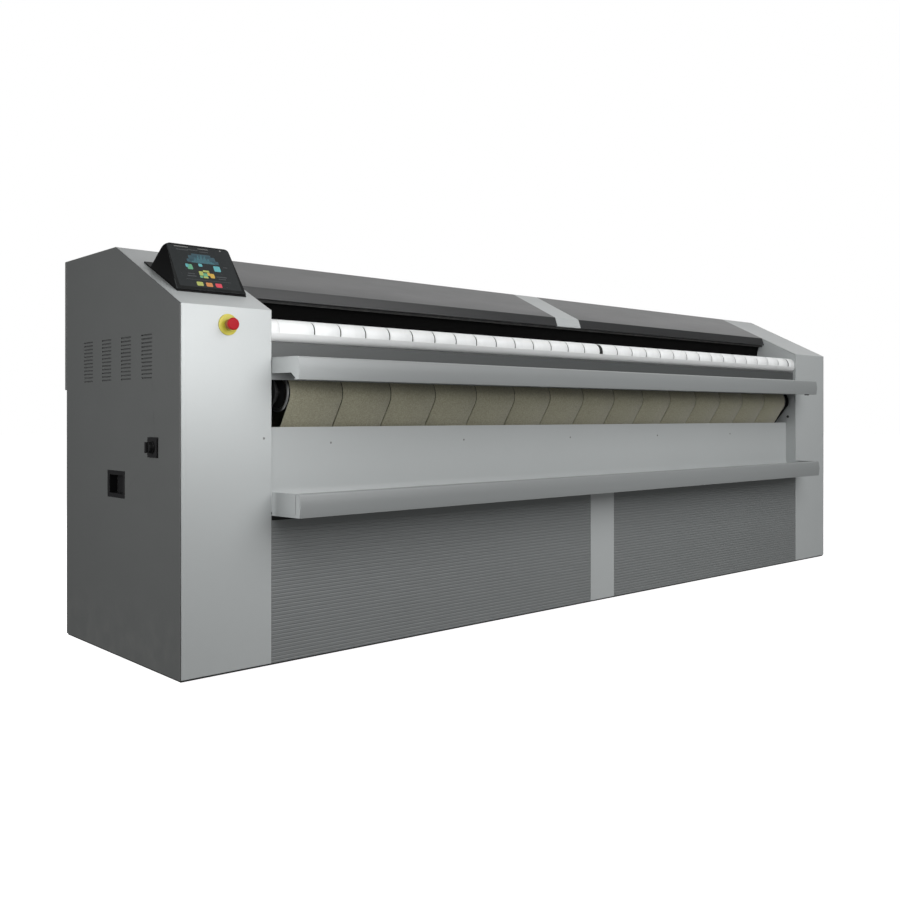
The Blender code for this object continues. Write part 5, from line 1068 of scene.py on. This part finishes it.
def build_vent_mats():
    """A filter mat behind each column of vents in the left side cover."""
    low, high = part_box("left_side_cover")
    shape = bmesh.new()
    section = rounded_loop(
        VENT_COLUMN_LENGTH / 2 + MAT_MARGIN, VENT_COLUMN_HEIGHT / 2 + MAT_MARGIN, MAT_CORNER, 3
    )
    faces = (high.x + MAT_GAP, high.x + MAT_GAP + MAT_THICKNESS)
    for index in range(VENT_COLUMNS):
        y = low.y + VENT_FIRST + VENT_COLUMN_PITCH * index
        loft(shape, [[(x, y + point.x, VENT_MIDDLE + point.y) for point in section] for x in faces])
    add_piece("vent_mats", shape, "dark_grey_paint", "machine", finish="mat")


def bar(shape, low, high, corner=0.0006):
    """A straight bar with round long edges between two corners of its box, lying along X or Y."""
    low, high = Vector(low), Vector(high)
    middle, half = (low + high) / 2, (high - low) / 2
    if half.x > half.y:
        section = rounded_loop(half.y, half.z, corner, 3)
        loops = [[(x, middle.y + a, middle.z + b) for a, b in section] for x in (low.x, high.x)]
    else:
        section = rounded_loop(half.x, half.z, corner, 3)
        loops = [[(middle.x + a, y, middle.z + b) for a, b in section] for y in (low.y, high.y)]
    loft(shape, loops)


# Skirt, a black strip that stands in for the shadow under the cabinets: place above the floor, inset from the
# covers, thickness, and the gap at its corners and top
SKIRT_FOOT = 0.0040
SKIRT_INSET = 0.004
SKIRT_THICKNESS = 0.003
SKIRT_GAP = 0.0002

# Hood strip, black rubber that stands in for the shade in the gap above the guard: its span behind the hood's
# front edge, its height, and the gaps above it and at its ends
HOOD_SHADE_STRIP_SPAN = (0.014, 0.019)
HOOD_SHADE_STRIP_HEIGHT = 0.0104
HOOD_SHADE_STRIP_GAP = 0.0001
HOOD_SHADE_STRIP_END_GAP = 0.002


def build_shade_strips():
    """Black rubber strips as painted shade: the skirt round the foot of the cabinets stands in for the shadow
    under them, and the strip above the guard for the shade in that gap.
    """
    front = cabinet_face() + SKIRT_INSET
    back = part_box("rear_lower_cover")[1].y - SKIRT_INSET
    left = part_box("left_side_cover")[0].x + SKIRT_INSET
    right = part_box("right_side_cover")[1].x - SKIRT_INSET
    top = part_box("left_front_cover")[0].z - SKIRT_GAP
    shape = bmesh.new()
    for y in (front, back - SKIRT_THICKNESS):
        bar(shape, (left, y, SKIRT_FOOT), (right, y + SKIRT_THICKNESS, top))
    start = front + SKIRT_THICKNESS + SKIRT_GAP
    end = back - SKIRT_THICKNESS - SKIRT_GAP
    for x in (left, right - SKIRT_THICKNESS):
        bar(shape, (x, start, SKIRT_FOOT), (x + SKIRT_THICKNESS, end, top))
    # Black skirt: painted shadow under the cabinets
    add_piece("base_shadow_skirt", shape, "black_plastic", "machine", finish="buffer")
    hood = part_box("hood_left")[0]
    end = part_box("hood_right")[1].x - HOOD_SHADE_STRIP_END_GAP
    near, far = HOOD_SHADE_STRIP_SPAN
    top = hood.z - HOOD_SHADE_STRIP_GAP
    shape = bmesh.new()
    bar(shape, (hood.x + HOOD_SHADE_STRIP_END_GAP, hood.y + near, top - HOOD_SHADE_STRIP_HEIGHT), (end, hood.y + far, top))
    # Black strip above the guard: painted shade in the gap below the hood
    add_piece("hood_gap_shade_strip", shape, "black_plastic", "machine", finish="buffer")


# Screws, plug and buffers: radius and rise of a head, and the gap under it
SCREW_SIZE = (0.0042, 0.0016)
REAR_SCREW_SIZE = (0.0065, 0.0026)
PLUG_SIZE = (0.0080, 0.0030)
SEAT_GAP = 0.0001

# Rear screws: how many in a row, and how far the rows are from the covers' edges
REAR_SCREWS = 9
REAR_SCREW_MARGIN = 0.030
REAR_SCREW_EDGES = {"rear_upper_cover": 0.024, "rear_lower_cover": 0.030}

# Places from the left cover, from the cabinets' face and above the floor
CABINET_SCREW_PLACE = (0.305, 0.773)
PANEL_SCREWS = 5
PANEL_SCREW_FIRST = 0.622
PANEL_SCREW_PITCH = 0.661
PANEL_SCREW_DEPTH = 0.0599
PANEL_SCREW_HEIGHT = 0.752
PLUG_PLACE = (0.049, 0.845)

# Buffers under the lip: places from its right end and before the cabinets' face, and their outline
BUFFER_INSETS = (0.118, 0.092)
BUFFER_DEPTH = 0.124
BUFFER_OUTLINE = [(-0.0050, 0.0040), (-0.0040, 0.0060), (-0.0001, 0.0066)]


def screw(shape, place, size, axis="Y", turn=-1):
    """A low round screw head with a shallow dimple for the driver."""
    radius, rise = size
    outline = [(0.0, 1.0), (0.5, 0.94), (1.0, 0.68), (1.0, 0.34), (0.45, 0.22)]
    turned(shape, [(turn * rise * up, radius * out) for up, out in outline], place, axis, 24)


def build_rear_screws():
    """Rows of screw heads that hold the rear covers."""
    shape = bmesh.new()
    for node, edge in REAR_SCREW_EDGES.items():
        low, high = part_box(node)
        start, end = low.x + REAR_SCREW_MARGIN, high.x - REAR_SCREW_MARGIN
        for z in (low.z + edge, high.z - edge):
            for index in range(REAR_SCREWS):
                x = start + (end - start) * index / (REAR_SCREWS - 1)
                screw(shape, (x, high.y + SEAT_GAP, z), REAR_SCREW_SIZE, turn=1)
    add_piece("rear_screws", shape, "black_steel", "machine", finish="screw_zinc")


def build_screws():
    """Screws on the back, the cabinet and the return panel, the side plug and the lip's buffers."""
    build_rear_screws()
    face = cabinet_face()
    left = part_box("left_side_cover")[0].x
    across, up = CABINET_SCREW_PLACE
    shape = bmesh.new()
    screw(shape, (left + across, face - SEAT_GAP, up), SCREW_SIZE)
    add_piece("cabinet_screw", shape, "black_steel", "machine", finish="screw_zinc")
    shape = bmesh.new()
    for index in range(PANEL_SCREWS):
        x = left + PANEL_SCREW_FIRST + PANEL_SCREW_PITCH * index
        screw(shape, (x, face + PANEL_SCREW_DEPTH, PANEL_SCREW_HEIGHT), SCREW_SIZE)
    add_piece("panel_screws", shape, "black_steel", "machine", finish="screw_zinc")
    back, up = PLUG_PLACE
    shape = bmesh.new()
    screw(shape, (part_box("right_side_frame")[0].x - SEAT_GAP, face + back, up), PLUG_SIZE, "X")
    add_piece("side_plug", shape, "black_plastic", "machine", finish="buffer")
    lip_low, lip_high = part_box("feed_table_lip")
    shape = bmesh.new()
    for inset in BUFFER_INSETS:
        turned(shape, BUFFER_OUTLINE, (lip_high.x - inset, face - BUFFER_DEPTH, lip_low.z), "Z", 24)
    add_piece("table_lip_buffers", shape, "black_plastic", "machine", finish="buffer")


# Stage

# Lights: place, target and side
LIGHTS = {
    "fill_light": ((-5.0, 0.0, 1.3), (-2.1, 0.1, 0.8), 1.8),
    "wide_light": ((0.4, -3.8, 3.0), (0.4, 0.0, 0.8), 3.5),
    "card": ((6.0, 3.6, 5.6), (0.0, -0.1, 1.35), 13.0),
    "back_light": ((2.5, 4.2, 1.8), (0.0, 0.5, 0.7), 2.4),
}
FLOOR_HALF = 40.0
WHITE = (1.0, 1.0, 1.0, 1.0)

# Where the levels of the world's gradients lie between straight down and straight up
WORLD_STOPS = (0.0, 0.5, 1.0)


def build_stage():
    """Floor, light and camera."""
    group = bpy.context.scene.ironer_stage
    build_floor(group.floor)
    build_world()
    add_light("key_light", group.key_place, group.key_target, group.key_size, group.key)
    powers = (group.fill, group.wide, group.card, group.back)
    for (name, (place, target, size)), power in zip(LIGHTS.items(), powers):
        light = add_light(name, place, target, size, power)
        light.visible_diffuse = name != "card"
    camera = bpy.data.objects.new("camera", bpy.data.cameras.new("camera"))
    camera.location = group.eye
    camera.rotation_euler = (math.pi / 2, 0, -group.yaw)
    camera.data.lens = group.lens
    camera.data.sensor_width = 36
    camera.data.shift_y = group.shift
    camera.data.clip_start = 0.05
    camera.data.clip_end = 200
    bpy.context.scene.collection.objects.link(camera)
    bpy.context.scene.camera = camera
    bpy.context.scene.view_settings.view_transform = "Standard"


def build_floor(glow):
    """A white floor that the camera sees and that the surfaces don't."""
    shape = bmesh.new()
    half = FLOOR_HALF
    corners = [(-half, -half, 0), (half, -half, 0), (half, half, 0), (-half, half, 0)]
    shape.faces.new([shape.verts.new(corner) for corner in corners])
    mesh = bpy.data.meshes.new("floor")
    shape.to_mesh(mesh)
    shape.free()
    surface = Surface("floor_white")
    tone = surface.mix(surface.noise(3.0, 3.0), (0.48, 0.48, 0.48), (0.50, 0.50, 0.50))
    white = surface.close(tone, 0.7, emission_color=WHITE, emission_strength=glow)
    mesh.materials.append(white)
    floor = bpy.data.objects.new("floor", mesh)
    floor.visible_diffuse = False
    floor.visible_glossy = False
    bpy.context.scene.collection.objects.link(floor)


def build_world():
    """White for the camera, and a dim gradient each for matt and for glossy surfaces."""
    group = bpy.context.scene.ironer_stage
    world = bpy.data.worlds.new("studio")
    world.use_nodes = True
    room = Nodes(world.node_tree, "Generated")
    _, _, up = room.split()
    height = room.node("ShaderNodeMapRange", sockets={0: up, 1: -1.0})
    shades = []
    for levels in (group.room, group.gloss):
        stops = [(share, (level, level, level)) for share, level in zip(WORLD_STOPS, levels)]
        shades.append(room.node("ShaderNodeBackground", sockets={0: room.ramp(height, stops)}))
    white = room.node("ShaderNodeBackground", sockets={0: WHITE})
    last = shades[0]
    for ray, shade in (("Is Glossy Ray", shades[1]), ("Is Camera Ray", white)):
        share = room.node("ShaderNodeLightPath", output=ray)
        last = room.node("ShaderNodeMixShader", sockets={0: share, 1: last, 2: shade})
    room.node("ShaderNodeOutputWorld", sockets={0: last})
    bpy.context.scene.world = world


def add_light(name, place, target, size, power):
    """A square area light that faces a target."""
    data = bpy.data.lights.new(name, "AREA")
    data.shape = "SQUARE"
    data.size = size
    data.energy = power
    light = bpy.data.objects.new(name, data)
    light.location = place
    away = Vector(target) - Vector(place)
    light.rotation_euler = away.to_track_quat("-Z", "Y").to_euler()
    light.visible_camera = False
    bpy.context.scene.collection.objects.link(light)
    return light


# Operators


class IRONER_OT_coat_frame(bpy.types.Operator):
    """Give every frame node its finish and soft edges"""

    bl_idname = "ironer.coat_frame"
    bl_label = "Coat frame"

    def execute(self, context):
        coat_frame()
        return {"FINISHED"}


class IRONER_OT_felt_belts(bpy.types.Operator):
    """Lay the felt belts round the rolls and the cylinder"""

    bl_idname = "ironer.felt_belts"
    bl_label = "Felt belts"

    def execute(self, context):
        build_felt_belts()
        return {"FINISHED"}


class IRONER_OT_feed_belts(bpy.types.Operator):
    """Lay the coated belts of the feed table"""

    bl_idname = "ironer.feed_belts"
    bl_label = "Feed belts"

    def execute(self, context):
        build_feed_belts()
        return {"FINISHED"}


class IRONER_OT_trim(bpy.types.Operator):
    """Add sleeves, rims, the flange behind the lip, vent mats, and the black strips that stand in for shadow
    at the base and shade above the guard
    """

    bl_idname = "ironer.trim"
    bl_label = "Trim"

    def execute(self, context):
        build_end_sleeves()
        build_roll_rims()
        build_lip_flange()
        build_vent_mats()
        build_shade_strips()
        return {"FINISHED"}


class IRONER_OT_display(bpy.types.Operator):
    """Draw the marks of the display on its glass"""

    bl_idname = "ironer.display"
    bl_label = "Display"

    def execute(self, context):
        build_display()
        return {"FINISHED"}


class IRONER_OT_emergency_stop(bpy.types.Operator):
    """Turn the emergency stop's disc, head and neck"""

    bl_idname = "ironer.emergency_stop"
    bl_label = "Emergency stop"

    def execute(self, context):
        build_emergency_stop()
        return {"FINISHED"}


class IRONER_OT_screws(bpy.types.Operator):
    """Set the small screws, the side plug and the lip's buffers"""

    bl_idname = "ironer.screws"
    bl_label = "Screws"

    def execute(self, context):
        build_screws()
        return {"FINISHED"}


class IRONER_OT_stage(bpy.types.Operator):
    """Set up floor, light and camera"""

    bl_idname = "ironer.stage"
    bl_label = "Stage"

    def execute(self, context):
        build_stage()
        return {"FINISHED"}


OPERATORS = (
    IRONER_OT_coat_frame,
    IRONER_OT_felt_belts,
    IRONER_OT_feed_belts,
    IRONER_OT_trim,
    IRONER_OT_display,
    IRONER_OT_emergency_stop,
    IRONER_OT_screws,
    IRONER_OT_stage,
)


class IRONER_PT_sidebar(bpy.types.Panel):
    """The steps that dress the ironer, in their order"""

    bl_idname = "IRONER_PT_sidebar"
    bl_label = "Flatwork ironer"
    bl_space_type = "VIEW_3D"
    bl_region_type = "UI"
    bl_category = "Ironer"

    def draw(self, context):
        for operator in OPERATORS:
            self.layout.operator(operator.bl_idname)


GROUPS = {"ironer_belts": IronerBelts, "ironer_finish": IronerFinish, "ironer_stage": IronerStage}


def register():
    for name, group in GROUPS.items():
        bpy.utils.register_class(group)
        setattr(bpy.types.Scene, name, PointerProperty(type=group))
    for operator in OPERATORS:
        bpy.utils.register_class(operator)
    bpy.utils.register_class(IRONER_PT_sidebar)


def unregister():
    bpy.utils.unregister_class(IRONER_PT_sidebar)
    for operator in reversed(OPERATORS):
        bpy.utils.unregister_class(operator)
    for name, group in GROUPS.items():
        delattr(bpy.types.Scene, name)
        bpy.utils.unregister_class(group)


def run(operator):
    """Calls an operator through bpy.ops and stops the script if it doesn't finish."""
    group, name = operator.bl_idname.split(".")
    if getattr(getattr(bpy.ops, group), name)() != {"FINISHED"}:
        raise RuntimeError(f"{operator.bl_label} didn't finish")


def main():
    register()
    for operator in OPERATORS:
        run(operator)


if __name__ == "__main__":
    main()
